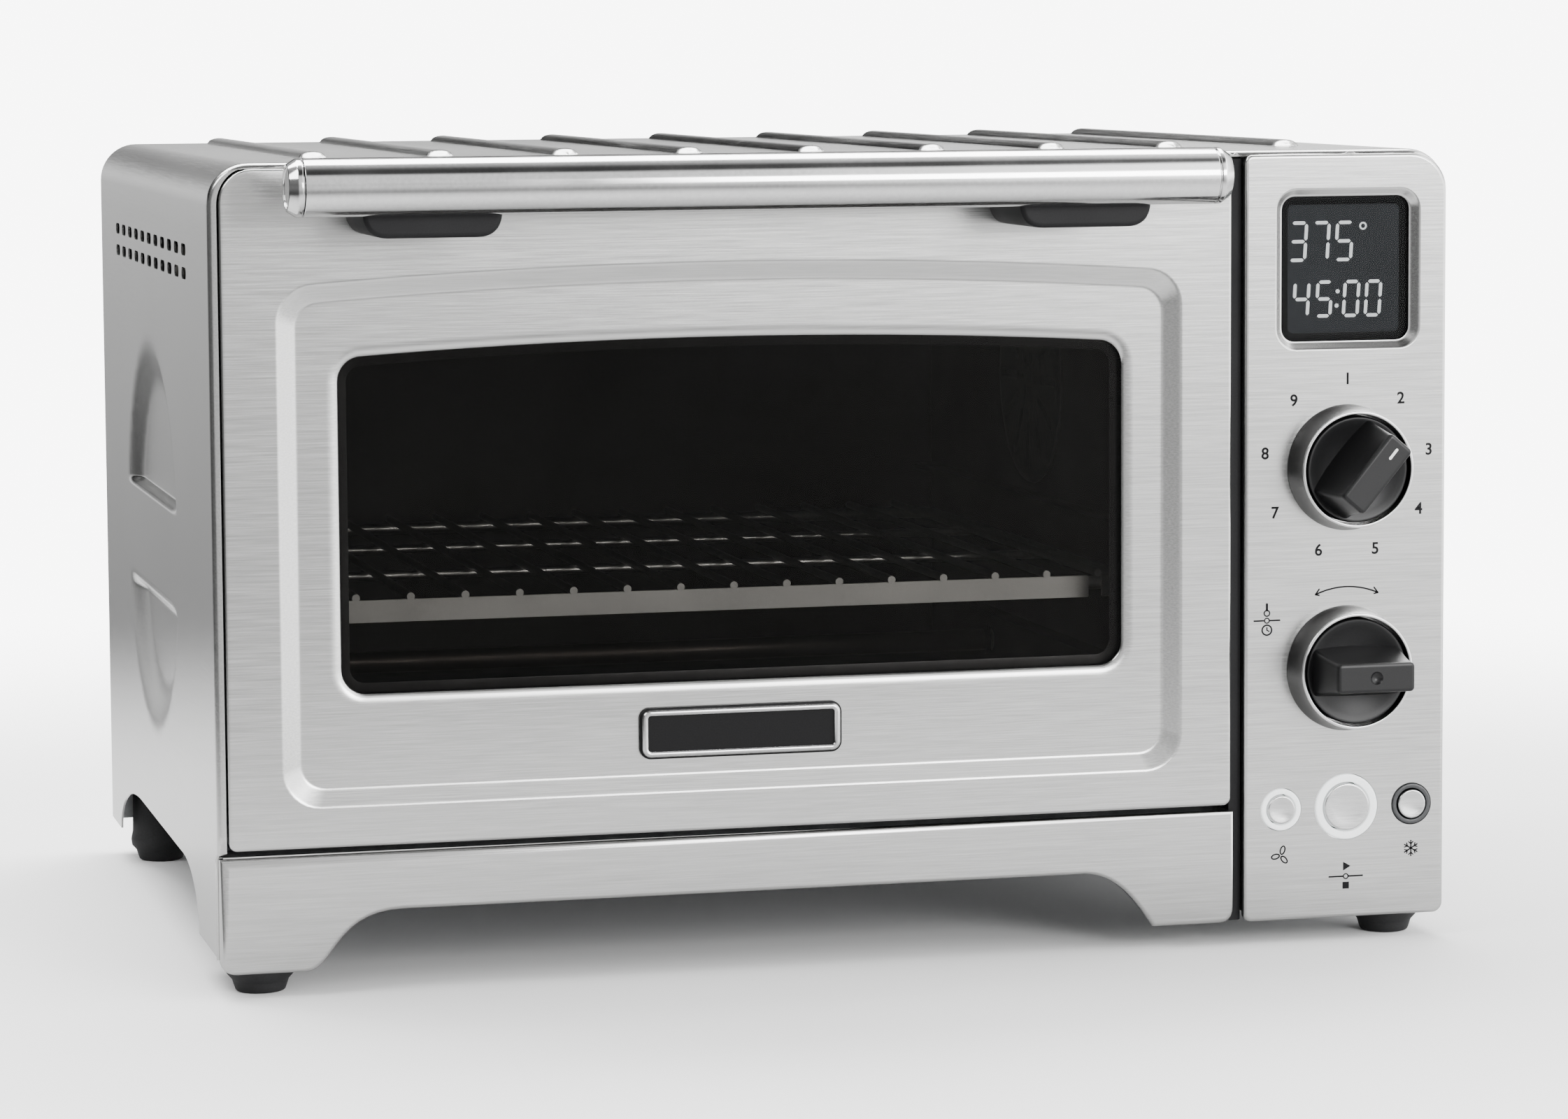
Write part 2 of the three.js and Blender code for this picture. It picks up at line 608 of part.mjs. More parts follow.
function namePlate() {
  const back = FACE + PRESS.depth - GAP;
  const half = PLATE.width / 2;
  const outline = roundedPoints(DOOR_X - half, DOOR_X + half, PLATE.z - PLATE.height / 2,
    PLATE.z + PLATE.height / 2, [3, 3, 3, 3]);
  return slab("y", outline, back - PLATE.thick, back);
}

// ---------------------------------------------------------------- controls
function knobCollar(z) {
  const a = FACE - GAP;
  const rim = FACE - KNOB.proud;
  const profile = [
    [4.5, a], [KNOB.base, a], [KNOB.rim, rim], [20.9, rim], [20.9, a - 1.4], [4.5, a - 1.4], [4.5, a],
  ];
  return turned("y", profile, [KNOB.x, 0, z], 28);
}

function knob(z, turn) {
  const disc = { front: FACE - KNOB.proud + 0.8, back: FACE - 2.4 - KNOB.push };
  return join(
    rod("y", 20, disc.front, disc.back, [KNOB.x, 0, z], 28),
    taperedBlade(KNOB.x, z, { y: disc.front + 1, width: 14, length: 37 },
      { y: FACE - KNOB.reach, width: 11, length: 30.2 }, turn));
}

// The upper knob and its shaft are one moulding.
function fixedKnob(z, turn) {
  return join(knob(z, turn), rod("y", KNOB.shaft, FACE - 6, FACE + 11, [KNOB.x, 0, z], 12));
}

// The lower knob slides on its shaft when it is pushed.
function slidingKnob(z, turn) {
  return cut(knob(z, turn),
    rod("y", KNOB.shaft + GAP, FACE - 8.2 - KNOB.push, FACE, [KNOB.x, 0, z], 12));
}

function knobShaft(z) {
  return rod("y", KNOB.shaft, FACE - 7.8, FACE + 11, [KNOB.x, 0, z], 12);
}

function encoder(z) {
  const a = FACE + 3.6;
  const bore = rod("y", 3.4, a - 1, a + 8, [KNOB.x, 0, z], 12);
  return box(KNOB.x - 7, KNOB.x + 7, a, a + 10, z - 7, z + 7).subtract(bore);
}

function displayWindow() {
  const { left, right, bottom, top } = SCREEN;
  return box(left + GAP, right - GAP, FACE + 2.4, FACE + 4.2, bottom + GAP, top - GAP);
}

function displayModule() {
  const { left, right, bottom, top } = SCREEN;
  return box(left - 3, right + 3, FACE + 4.5, FACE + 13, bottom - 4, top + 4);
}

function controlBoard() {
  const { left, right, bottom, top, front, thick } = BOARD;
  let body = box(left, right, front, front + thick, bottom, top);
  for (const { x } of [BUTTONS.left, BUTTONS.middle, BUTTONS.right]) {
    body = body.add(box(x - 3, x + 3, BUTTONS.switchTop, front + 0.5, BUTTONS.z - 3, BUTTONS.z + 3));
  }
  return body;
}

// A board on edge beside the cavity; its transformer, relays and heat sink stand on its inner face.
function powerBoard() {
  const { x, thick, front, back, bottom, top, parts } = POWER;
  const blocks = parts.map(([reach, y0, y1, z0, z1]) =>
    box(x - reach, x + thick / 3, y0, y1, z0, z1));
  return join(box(x, x + thick, front, back, bottom, top), ...blocks);
}

function buttonRing({ x, ring, cap }) {
  const front = FACE - 0.5;
  const profile = [
    [cap + GAP, front], [ring - 0.6, front], [ring, front + 0.5], [ring, FACE + 7],
    [cap + GAP, FACE + 7], [cap + GAP, front],
  ];
  return turned("y", profile, [x, 0, BUTTONS.z], 24);
}

function buttonCap({ x, cap }) {
  const front = FACE - 1.2;
  const stem = BUTTONS.switchTop - GAP - BUTTONS.travel;
  const profile = [
    [0, front], [cap - 0.7, front], [cap, front + 0.7], [cap, FACE + 5], [2.5, FACE + 5],
    [2.5, stem], [0, stem],
  ];
  return turned("y", profile, [x, 0, BUTTONS.z], 20);
}

// ---------------------------------------------------------------- assembly
place("cabinet_wrapper", "brushed", cabinetWrapper());
place("back_panel", "aluminised", backPanel());
place("base_panel", "brushed", basePanel());
place("floor_pan", "aluminised", floorPan());
place("foot_front_left", "rubber", foot(-FOOT.x, FOOT.front));
place("foot_front_right", "rubber", foot(FOOT.x, FOOT.front));
place("foot_rear_left", "rubber", foot(-FOOT.x, FOOT.back));
place("foot_rear_right", "rubber", foot(FOOT.x, FOOT.back));
place("cord_gland", "black", cordGland());
place("rear_spacer", "black",
  box(-SPACER.half, SPACER.half, REAR.back + GAP, REAR.reach, SPACER.low, SPACER.high));
for (const [word, [x, z]] of Object.entries(BACK_SCREWS)) {
  place(`back_screw_${word}`, "chrome",
    rod("y", SCREW.r, REAR.back + GAP, REAR.back + SCREW.head, [x, 0, z], 12));
}

place("front_frame", "aluminised", frontFrame());
place("cavity_liner", "aluminised", cavityLiner());
place("crumb_tray", "aluminised", crumbTray());
for (const [row, z] of Object.entries(HEATER.rows)) {
  for (const [spot, y] of Object.entries(HEATER.spots)) {
    place(`heater_${row}_${spot}`, "chrome", heater(y, z));
  }
}
place("thermostat_probe", "chrome", probe());
place("wire_rack", "chrome", wireRack());
place("fan_cover", "aluminised", fanCover());
place("fan_housing", "aluminised", fanHousing());
place("fan_wheel", "aluminised", fanWheel());
place("fan_motor", "black", fanMotor());

place("door_panel", "brushed", doorPanel());
place("door_glass", "glass", doorGlass(FACE + GLASS.set));
place("door_inner_glass", "glass", doorGlass(FACE + DOOR.depth - GLASS.thick));
place("door_inner_frame", "aluminised", doorInnerFrame());
place("name_plate", "black", namePlate());
place("handle_bar", "polished", handleBar());
for (const [word, side] of [["left", -1], ["right", 1]]) {
  place(`handle_cap_${word}`, "polished", handleCap(side));
  place(`handle_bracket_${word}`, "black", handleBracket(side));
  place(`hinge_bracket_${word}`, "chrome", hingeBracket(side));
  place(`hinge_arm_${word}`, "chrome", hingeArm(side));
}

place("control_panel", "brushed", controlPanel());
place("divider_strip", "black", box(DIVIDER.left, PANEL.left - GAP, DIVIDER.front, DIVIDER.back,
  DIVIDER.bottom, DIVIDER.top));
place("display_window", "glass", displayWindow());
place("display_module", "black", displayModule());
place("control_board", "board", controlBoard());
place("power_board", "board", powerBoard());
for (const [word, z] of [["upper", KNOB.upper], ["lower", KNOB.lower]]) {
  place(`knob_collar_${word}`, "polished", knobCollar(z));
  place(`encoder_${word}`, "black", encoder(z));
}
place("knob_upper", "black", fixedKnob(KNOB.upper, THREE.MathUtils.degToRad(40)));
place("knob_lower", "black", slidingKnob(KNOB.lower, THREE.MathUtils.degToRad(90)));
place("knob_shaft_lower", "chrome", knobShaft(KNOB.lower));
for (const word of ["left", "middle", "right"]) {
  place(`button_ring_${word}`, word === "right" ? "black" : "ring", buttonRing(BUTTONS[word]));
  place(`button_${word}`, "brushed", buttonCap(BUTTONS[word]));
}

export default oven;
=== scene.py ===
# Countertop toaster oven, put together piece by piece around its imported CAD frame.
# Outlines are drawn in millimetres and stored in metres.
import math

import bmesh
import bpy
from mathutils import Matrix, Vector


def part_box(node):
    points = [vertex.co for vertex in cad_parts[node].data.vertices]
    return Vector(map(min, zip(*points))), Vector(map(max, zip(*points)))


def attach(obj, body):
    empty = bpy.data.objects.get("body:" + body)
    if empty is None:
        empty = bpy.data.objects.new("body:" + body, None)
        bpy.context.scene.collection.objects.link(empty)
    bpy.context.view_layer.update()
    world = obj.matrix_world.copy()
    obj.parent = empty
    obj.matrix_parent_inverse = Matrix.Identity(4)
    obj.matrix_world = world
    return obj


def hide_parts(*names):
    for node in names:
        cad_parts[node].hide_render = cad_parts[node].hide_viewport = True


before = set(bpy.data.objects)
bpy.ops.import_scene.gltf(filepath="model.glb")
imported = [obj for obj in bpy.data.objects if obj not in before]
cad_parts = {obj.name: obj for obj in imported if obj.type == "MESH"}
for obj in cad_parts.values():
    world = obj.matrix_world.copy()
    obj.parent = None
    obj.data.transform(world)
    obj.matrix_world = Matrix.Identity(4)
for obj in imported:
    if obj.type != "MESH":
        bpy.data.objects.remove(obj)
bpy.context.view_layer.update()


# ---------------- camera
# A long portrait lens a little above the handle, from the oven's front left.
def placed(name, data):
    """A new object in the scene that holds the data."""
    obj = bpy.data.objects.new(name, data)
    bpy.context.collection.objects.link(obj)
    return obj


camera = bpy.data.cameras.new("camera")
camera.lens, camera.sensor_width, camera.shift_y = 111.58, 36.0, -0.05
camera_yaw, camera_dip, camera_roll = 14.213, 5.236, 0.363
viewpoint = placed("camera", camera)
viewpoint.matrix_world = (
    Matrix.Translation((-0.4610, -1.8690, 0.3449))
    @ Matrix.Rotation(math.radians(-camera_yaw), 4, "Z")
    @ Matrix.Rotation(math.radians(90 - camera_dip), 4, "X")
    @ Matrix.Rotation(math.radians(-camera_roll), 4, "Z"))
bpy.context.scene.camera = viewpoint


# ---------------- studio
# A pale floor, a white room and soft boxes, as for a catalogue picture.
def linear(code):
    """An sRGB hex colour as the linear colour that shaders take."""
    channels = []
    for shift in (16, 8, 0):
        value = ((code >> shift) & 255) / 255
        channels.append(value / 12.92 if value <= 0.04045 else ((value + 0.055) / 1.055) ** 2.4)
    return (*channels, 1.0)


def add(tree, kind, inputs=None, **settings):
    """Adds a node; each input takes a value or another node's output."""
    node = tree.nodes.new(kind)
    for key, value in settings.items():
        setattr(node, key, value)
    for key, value in (inputs or {}).items():
        if isinstance(value, bpy.types.NodeSocket):
            tree.links.new(value, node.inputs[key])
        else:
            node.inputs[key].default_value = value
    return node


def remap(tree, value, low, high, to_low=0.0, to_high=1.0, **settings):
    """Turns a value's span from low to high into a span of its own."""
    return add(tree, "ShaderNodeMapRange", {
        "Value": value, "From Min": low, "From Max": high, "To Min": to_low, "To Max": to_high},
        **settings).outputs[0]


def shades(tree, value, first, last, *between):
    """Colours picked by a value; each is a place from 0 to 1 with its colour."""
    node = add(tree, "ShaderNodeValToRGB", {"Fac": value})
    stops = node.color_ramp.elements
    for stop, (place, colour) in zip(stops, (first, last)):
        stop.position, stop.color = place, colour
    for place, colour in between:
        stops.new(place).color = colour
    return node.outputs["Color"]


def noise(tree, coords, scale, **more):
    """A cloudy value; `scale` is how many clouds fit in a metre."""
    return add(tree, "ShaderNodeTexNoise", {"Vector": coords, "Scale": scale, **more}).outputs["Fac"]


def finish(name, sockets):
    """A material with one Principled shader; sockets are its uniform values."""
    made = bpy.data.materials.new(name)
    made.use_nodes = True
    tree = made.node_tree
    tree.nodes.clear()
    shader = add(tree, "ShaderNodeBsdfPrincipled", sockets)
    add(tree, "ShaderNodeOutputMaterial", {"Surface": shader.outputs["BSDF"]})
    return made, tree, shader


def soft_box(name, place, aim, size, power):
    lamp = bpy.data.lights.new(name, "AREA")
    lamp.shape, lamp.size, lamp.size_y, lamp.energy = "RECTANGLE", size[0], size[1], power
    obj = placed(name, lamp)
    obj.location = place
    obj.rotation_euler = (Vector(aim) - Vector(place)).to_track_quat("-Z", "Y").to_euler()


soft_box("overhead", (-0.1, 0.7, 1.85), (0, 0.1, 0), (2.2, 1.2), 120)
soft_box("high_left", (-1.7, -0.7, 1.9), (-0.1, 0, 0.1), (1.0, 1.2), 34)
soft_box("front_right", (1.15, -3.0, 0.95), (0.05, -0.1, 0.25), (1.3, 1.0), 62)

world = bpy.data.worlds.new("room")
world.use_nodes = True
bpy.context.scene.world = world
room = world.node_tree
room.nodes.clear()
direction = add(room, "ShaderNodeTexCoord").outputs["Generated"]
axes = add(room, "ShaderNodeSeparateXYZ", {"Vector": direction})


def wall(*greys):
    """Brightness against the height of a direction, from -1 straight down to 1 straight up."""
    tones = [((height + 1) / 2, linear(grey * 0x010101)) for height, grey in greys]
    return shades(room, remap(room, axes.outputs["Z"], -1.0, 1.0), tones[0], tones[-1], *tones[1:-1])


front_wall = wall((-1, 0x70), (-0.25, 0xA8), (-0.1, 0xDC), (0.02, 0xF4), (0.2, 0xE4), (0.3, 0xFA),
                  (0.7, 0xFF), (0.8, 0x38), (0.92, 0x40), (1, 0x70))
back_wall = wall((-1, 0x58), (-0.16, 0x74), (-0.06, 0xC0), (0.04, 0xFF), (0.1, 0xE8), (0.15, 0x10),
                 (0.3, 0x16), (0.44, 0xA8), (1, 0xFF))
walls = add(room, "ShaderNodeMix", {
    0: remap(room, axes.outputs["Y"], -0.25, 0.35), 6: front_wall, 7: back_wall}, data_type="RGBA")
strength = add(room, "ShaderNodeMath", {
    0: remap(room, axes.outputs["X"], -0.75, -0.35, 0.25, 1.3),
    1: remap(room, axes.outputs["X"], 0.2, 0.6, 0.0, 4.2)}, operation="ADD")
lit_room = add(room, "ShaderNodeBackground", {
    "Color": walls.outputs[2], "Strength": strength.outputs[0]})
seen_room = add(room, "ShaderNodeBackground", {"Color": linear(0xFFFFFF), "Strength": 8.0})
ray = add(room, "ShaderNodeLightPath")
both = add(room, "ShaderNodeMixShader", {
    "Fac": ray.outputs["Is Camera Ray"], 1: lit_room.outputs[0], 2: seen_room.outputs[0]})
add(room, "ShaderNodeOutputWorld", {"Surface": both.outputs[0]})

floor_paint, tree, shader = finish("matt floor paint", {"Roughness": 0.9, "Specular IOR Level": 0.1})
spot = add(tree, "ShaderNodeTexCoord").outputs["Object"]
tint = shades(tree, noise(tree, spot, 3.0), (0, linear(0xF8F8F8)), (1, linear(0xFBFBFB)))
# Painted shade: seen by the camera the floor is pale, but in reflections on the oven and in the light it
# bounces it is a darker grey.
seen = add(tree, "ShaderNodeLightPath").outputs["Is Camera Ray"]
floor_reflection_shade = add(tree, "ShaderNodeMix", {0: seen, 6: linear(0xC4C4C4), 7: tint}, data_type="RGBA")
tree.links.new(floor_reflection_shade.outputs[2], shader.inputs["Base Color"])
far = add(tree, "ShaderNodeVectorMath", {0: spot}, operation="LENGTH").outputs["Value"]
edge = add(tree, "ShaderNodeMixShader", {
    "Fac": remap(tree, far, 0.42, 1.1, interpolation_type="SMOOTHSTEP"), 1: shader.outputs[0],
    2: add(tree, "ShaderNodeBsdfTransparent").outputs[0]})
tree.links.new(edge.outputs[0], tree.nodes["Material Output"].inputs["Surface"])
half_floor, below_feet = 1.6, -0.0002
floor_mesh = bpy.data.meshes.new("floor")
floor_mesh.from_pydata([(x * half_floor, y * half_floor, below_feet)
                        for x, y in ((-1, -1), (1, -1), (1, 1), (-1, 1))], [], [(0, 1, 2, 3)])
floor_mesh.materials.append(floor_paint)
placed("floor", floor_mesh)


# ---------------- cabinet wrapper
# One sheet of brushed stainless steel, folded down over both sides, with rolled ribs on the roof,
# punched vents, a hand grip pressed into each side and arches that leave four legs.
MM = 0.001


def brushed(name, grain, tone, rough):
    """Stainless steel drawn through a belt: fine streaks along `grain`, each broken by the next.
    Real streaks are 0.1 mm wide; these are 0.4 mm so that they show."""
    made, tree, shader = finish(name, {"Metallic": 1.0, "Anisotropic": 0.35})
    coords = add(tree, "ShaderNodeTexCoord").outputs["Object"]
    streak_width, streak_length = 0.00045, 0.026
    stretch = [1 / streak_width] * 3
    stretch["xyz".index(grain)] = 1 / streak_length
    stretched = add(tree, "ShaderNodeMapping", {"Vector": coords, "Scale": stretch}).outputs[0]
    streaks = noise(tree, stretched, 1.0, Detail=3.0, Roughness=0.65)
    clouds = noise(tree, coords, 9.0, Detail=2.0)
    blend = add(tree, "ShaderNodeMath", {0: clouds, 1: 0.25, 2: streaks}, operation="MULTIPLY_ADD")
    dark, light = [(*[share * c for c in linear(tone)[:3]], 1.0) for share in (0.84, 1.08)]
    tree.links.new(shades(tree, blend.outputs[0], (0.38, dark), (0.86, light)),
                   shader.inputs["Base Color"])
    tree.links.new(remap(tree, streaks, 0.3, 0.7, rough - 0.03, rough + 0.04),
                   shader.inputs["Roughness"])
    bump = add(tree, "ShaderNodeBump", {"Height": streaks, "Strength": 0.10, "Distance": 0.000012})
    tree.links.new(bump.outputs["Normal"], shader.inputs["Normal"])
    return made


def settle(name, shape, skin_of, body, stands_for=(), sharp=38):
    """Turns a bmesh or a mesh into a finished piece that rides on a body."""
    mesh = shape
    if isinstance(shape, bmesh.types.BMesh):
        mesh = bpy.data.meshes.new(name)
        shape.to_mesh(mesh)
        shape.free()
    mesh.shade_smooth()
    mesh.set_sharp_from_angle(angle=math.radians(sharp))
    mesh.materials.clear()
    mesh.materials.append(skin_of)
    obj = placed(name, mesh)
    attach(obj, body)
    if stands_for:
        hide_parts(*stands_for)


def skin(rings, loop=False):
    """A closed mesh drawn through rings of points, all of one count, in millimetres."""
    shape = bmesh.new()
    rows = [[shape.verts.new(Vector(point) * MM) for point in ring] for ring in rings]
    following = rows[1:] + (rows[:1] if loop else [])
    for row, next_row in zip(rows, following):
        for i in range(len(row)):
            j = (i + 1) % len(row)
            shape.faces.new((row[i], row[j], next_row[j], next_row[i]))
    if not loop:
        shape.faces.new(rows[0][::-1])
        shape.faces.new(rows[-1])
    bmesh.ops.recalc_face_normals(shape, faces=shape.faces)
    return shape


def millimetres(node):
    low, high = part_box(node)
    return [c / MM for c in low], [c / MM for c in high]


def middle(node):
    return [(a + b) / 2 for a, b in zip(*millimetres(node))]


def smooth(t):
    t = max(0.0, min(1.0, t))
    return t * t * (3 - 2 * t)


def steps(first, last, pitch):
    """Evenly spaced places from first to last, about `pitch` apart."""
    count = max(1, round(abs(last - first) / pitch))
    return [first + (last - first) * i / count for i in range(count + 1)]


def merged(*lists, least=0.25):
    """All places of several lists in order, without any that crowd the one before."""
    places = []
    for place in sorted(p for group in lists for p in group):
        if not places or place - places[-1] > least:
            places.append(place)
    return places


def arc(centre, across, up, first, last, count):
    """Points along an arc that reaches `across` and `up`, between two angles in degrees."""
    angles = [math.radians(first + (last - first) * i / count) for i in range(count + 1)]
    return [(centre[0] + across * math.cos(a), centre[1] + up * math.sin(a)) for a in angles]


wrap_low, wrap_high = millimetres("cabinet_wrapper")
wrap_half, wrap_bottom, wrap_front, wrap_back = wrap_high[0], wrap_low[2], wrap_low[1], wrap_high[1]
roof, wrap_corner, sheet = 301.0, 15.0, 0.8
ribs = [-186 + 47.8 * i for i in range(9)]
rib_half, rib_front, rib_back, rib_height = 5.0, -78.0, 190.0, 2.4
grip_y, grip_z, grip_along, grip_up = 36.4, 150.5, 81.0, 78.0
grip_lip, grip_sill, grip_depth, grip_slope = 165.5, 130.0, 4.6, 20.0
base_top = millimetres("base_panel")[1][2]


def rib_rise(x, y):
    """Height of the half-round ribs, which end in ball noses."""
    rise = 0.0
    for centre in ribs:
        across = abs(x - centre)
        if across < rib_half:
            nose = max(0.0, rib_front + rib_half - y, y - rib_back + rib_half)
            reach = math.hypot(across, nose) / rib_half
            rise = rib_height * math.sqrt(max(0.0, 1 - min(1.0, reach) ** 2))
    return rise


def grip_dip(y, z):
    """Two dished halves of one oval: a sharp lip over the plain band, a soft sill under it."""
    radius = math.hypot((y - grip_y) / grip_along, (z - grip_z) / grip_up)
    inside = (1 - radius) * grip_up
    if inside <= 0 or grip_sill < z < grip_lip:
        return 0.0
    if z >= grip_lip:
        return grip_depth * smooth(inside / grip_slope) * smooth((z - grip_lip) / 3.2)
    return grip_depth * smooth(inside / grip_slope) * smooth((grip_sill - z) / 7)


def wrapper_section():
    """Stations along the sheet, up the left side, over the roof and down the right side:
    each is (x, z, outward x, outward z, how far the front hem runs here)."""
    side = merged(
        steps(wrap_bottom, roof - wrap_corner, 9), steps(grip_z - 80, grip_z + 80, 2.6),
        steps(grip_lip - 0.5, grip_lip + 4.0, 0.5), steps(grip_sill - 8, grip_sill, 1.0),
        [base_top + 0.4, base_top + 1.6])
    stations = [(-wrap_half, z, -1.0, 0.0, smooth((z - base_top) / 1.5)) for z in side]
    inner_x, inner_z = wrap_half - wrap_corner, roof - wrap_corner
    stations += [(wrap_corner * u - inner_x, wrap_corner * v + inner_z, u, v, 1.0)
                 for u, v in arc((0, 0), 1, 1, 180, 90, 12)[1:-1]]
    across = merged(
        steps(-inner_x, inner_x, 10),
        *[[x + side * d for side in (-1, 1) for d in (0.8, 2.2, 3.4, 4.3, 4.9, 5.2)] for x in ribs])
    stations += [(x, roof, 0.0, 1.0, 1.0) for x in across]
    stations += [(wrap_corner * u + inner_x, wrap_corner * v + inner_z, u, v, v ** 2)
                 for u, v in arc((0, 0), 1, 1, 90, 0, 12)[1:-1]]
    stations += [(wrap_half, z, 1.0, 0.0, 0.0) for z in reversed(side)]
    return stations


# The front edge, rolled under: how far forward of the front, and how far in.
hem = [(-1.2, 0.0), (0.0, 0.06), (0.9, 0.35), (1.6, 0.95), (1.95, 1.8), (2.0, 3.3), (0.8, 3.32)]
length = merged(
    steps(wrap_back, wrap_front + 1.3, 12), steps(grip_y - 82, grip_y + 82, 3.4),
    steps(rib_front - 0.5, rib_front + 6, 0.9), steps(rib_back - 6, rib_back + 0.5, 0.9))
shape = bmesh.new()
grid = []
for x, z, out_x, out_z, hem_share in wrapper_section():
    row = []
    for y in reversed(length):
        lift = rib_rise(x, y) if out_z > 0.99 else 0.0
        dip = grip_dip(y, z) if abs(out_x) > 0.99 else 0.0
        row.append((x - out_x * dip, y, z + lift))
    for forward, inset in hem:
        inset_x = inset * out_x * hem_share
        inset_z = min(inset, 1.5) * out_z * hem_share
        row.append((x - inset_x, wrap_front - forward * max(hem_share, 0.02), z - inset_z))
    grid.append([shape.verts.new(Vector(point) * MM) for point in row])
for row, next_row in zip(grid, grid[1:]):
    for i in range(len(row) - 1):
        shape.faces.new((row[i], row[i + 1], next_row[i + 1], next_row[i]))


def slot_outline(cx, cy, long, high):
    """A slot with round ends, `long` overall, centred on (cx, cy)."""
    r, run = high / 2, long / 2 - high / 2
    return arc((cx + run, cy), r, r, -90, 90, 5) + arc((cx - run, cy), r, r, 90, 270, 5)


def arch_outline():
    """The leg arch in side view: (y, z) points, anticlockwise."""
    front, back, top, under = -88.6, 164.0, 37.5, wrap_bottom - 6
    rise = top - wrap_bottom
    return ([(front, under), (back, under)] + arc((back - 75, wrap_bottom), 75, rise, 0, 90, 16)
            + arc((front + 45, wrap_bottom), 45, rise, 90, 180, 16))


def prism(outlines, axis, low, high):
    """One mesh of upright prisms over outlines: across x they are (y, z), across y (x, z)."""
    shape = bmesh.new()
    for outline in outlines:
        rings = []
        for end in (low, high):
            points = [(end, u, v) if axis == "x" else (u, end, v) for u, v in outline]
            rings.append([shape.verts.new(Vector(point) * MM) for point in points])
        count = len(outline)
        for i in range(count):
            j = (i + 1) % count
            shape.faces.new((rings[0][i], rings[0][j], rings[1][j], rings[1][i]))
        shape.faces.new(rings[0][::-1])
        shape.faces.new(rings[1])
    bmesh.ops.recalc_face_normals(shape, faces=shape.faces)
    return shape


def evaluated(obj):
    """The object's mesh with its modifiers applied."""
    return bpy.data.meshes.new_from_object(obj.evaluated_get(bpy.context.evaluated_depsgraph_get()))


def carve(shape, *cutters, thickness=0.0):
    """Cuts bmesh shapes out of another, first thickening it inwards if it is a bare sheet."""
    parts = []
    for source in (shape, *cutters):
        if not thickness or source is not shape:
            bmesh.ops.recalc_face_normals(source, faces=source.faces)
        mesh = bpy.data.meshes.new("part")
        source.to_mesh(mesh)
        source.free()
        parts.append(placed("part", mesh))
    if thickness:
        thicken = parts[0].modifiers.new("thickness", "SOLIDIFY")
        thicken.thickness, thicken.offset = thickness * MM, -1.0
    for tool in parts[1:]:
        change = parts[0].modifiers.new("cut", "BOOLEAN")
        change.object, change.operation, change.solver = tool, "DIFFERENCE", "EXACT"
    result = evaluated(parts[0])
    for part in parts:
        bpy.data.objects.remove(part)
    return result


vent_front, vent_pitch, vent_long, vent_high = -76, 21.2, 13, 4.4
vents = [slot_outline(vent_front + vent_pitch * i, z, vent_long, vent_high)
         for i in range(11) for z in (267.8, 259.0)]
sheet_tone = 0xBEBEBD
steel_wrap = brushed("brushed stainless wrapper", "y", sheet_tone, 0.21)
wrapper_mesh = carve(
    shape, prism(vents, "x", -240, -228), prism(vents, "x", 228, 240),
    prism([arch_outline()], "x", -260, 260), thickness=sheet)
settle("cabinet_shell", wrapper_mesh, steel_wrap, "cabinet", ["cabinet_wrapper"])


# ---------------- base panel
# A brushed plinth plate under the door, cut to an arch between two legs; its top edge folds back.
face = millimetres("door_panel")[0][1]


def eased(points, steps_round=4):
    """Rounds the corners of a closed outline; a point's third number is its radius."""
    rounded = []
    count = len(points)
    for i, point in enumerate(points):
        here = Vector(point[:2])
        radius = point[2] if len(point) > 2 else 0
        if not radius:
            rounded.append(tuple(here))
            continue
        before, after = Vector(points[i - 1][:2]) - here, Vector(points[(i + 1) % count][:2]) - here
        start = here + before.normalized() * min(radius, before.length / 2)
        end = here + after.normalized() * min(radius, after.length / 2)
        for k in range(steps_round + 1):
            t = k / steps_round
            rounded.append(tuple(start * (1 - t) ** 2 + here * 2 * t * (1 - t) + end * t ** 2))
    return rounded


def inset(points, amount):
    """Moves an anticlockwise outline inwards; amount may be a function of the point."""
    moved = []
    count = len(points)
    for i, point in enumerate(points):
        here = Vector(point)
        before, after = here - Vector(points[i - 1]), Vector(points[(i + 1) % count]) - here
        normal_a = Vector((-before.y, before.x)).normalized()
        normal_b = Vector((-after.y, after.x)).normalized()
        middle = (normal_a + normal_b).normalized()
        share = amount(point) if callable(amount) else amount
        moved.append(tuple(here + middle * share / max(0.5, middle.dot(normal_a))))
    return moved


def quarter(count):
    """Steps of a rounded edge: how far in it has come, and how far it has left to rise."""
    for i in range(count + 1):
        a = math.pi / 2 * i / count
        yield 1 - math.cos(a), 1 - math.sin(a)


def pillow(outline, back, front, radius, rounds=5):
    """A plate across y whose front edge is rounded; the front face looks along -y."""
    size = radius if callable(radius) else lambda point: radius
    rings = [[(x, back, z) for x, z in outline]]
    for across, down in quarter(rounds):
        inward = inset(outline, lambda p: size(p) * across)
        rings.append([(x, front + size(p) * down, z) for (x, z), p in zip(inward, outline)])
    inward = inset(outline, lambda p: size(p) + 0.3)
    rings.append([(x, front, z) for x, z in inward])
    return skin(rings)


def bezier(a, b, c, d, count):
    for i in range(1, count):
        t = i / count
        yield tuple(
            (1 - t) ** 3 * p + 3 * t * (1 - t) ** 2 * q + 3 * t ** 2 * (1 - t) * r + t ** 3 * s
            for p, q, r, s in zip(a, b, c, d))


def block(x0, x1, y0, y1, z0, z1, radius=0.0):
    """A box, with its edges along y rounded when a radius is given."""
    outline = eased([(x0, z0, radius), (x1, z0, radius), (x1, z1, radius), (x0, z1, radius)])
    return prism([outline], "y", y0, y1)


def gathered(*shapes):
    """One bmesh holding several."""
    whole = bmesh.new()
    for shape in shapes:
        part = bpy.data.meshes.new("part")
        shape.to_mesh(part)
        shape.free()
        whole.from_mesh(part)
        bpy.data.meshes.remove(part)
    return whole


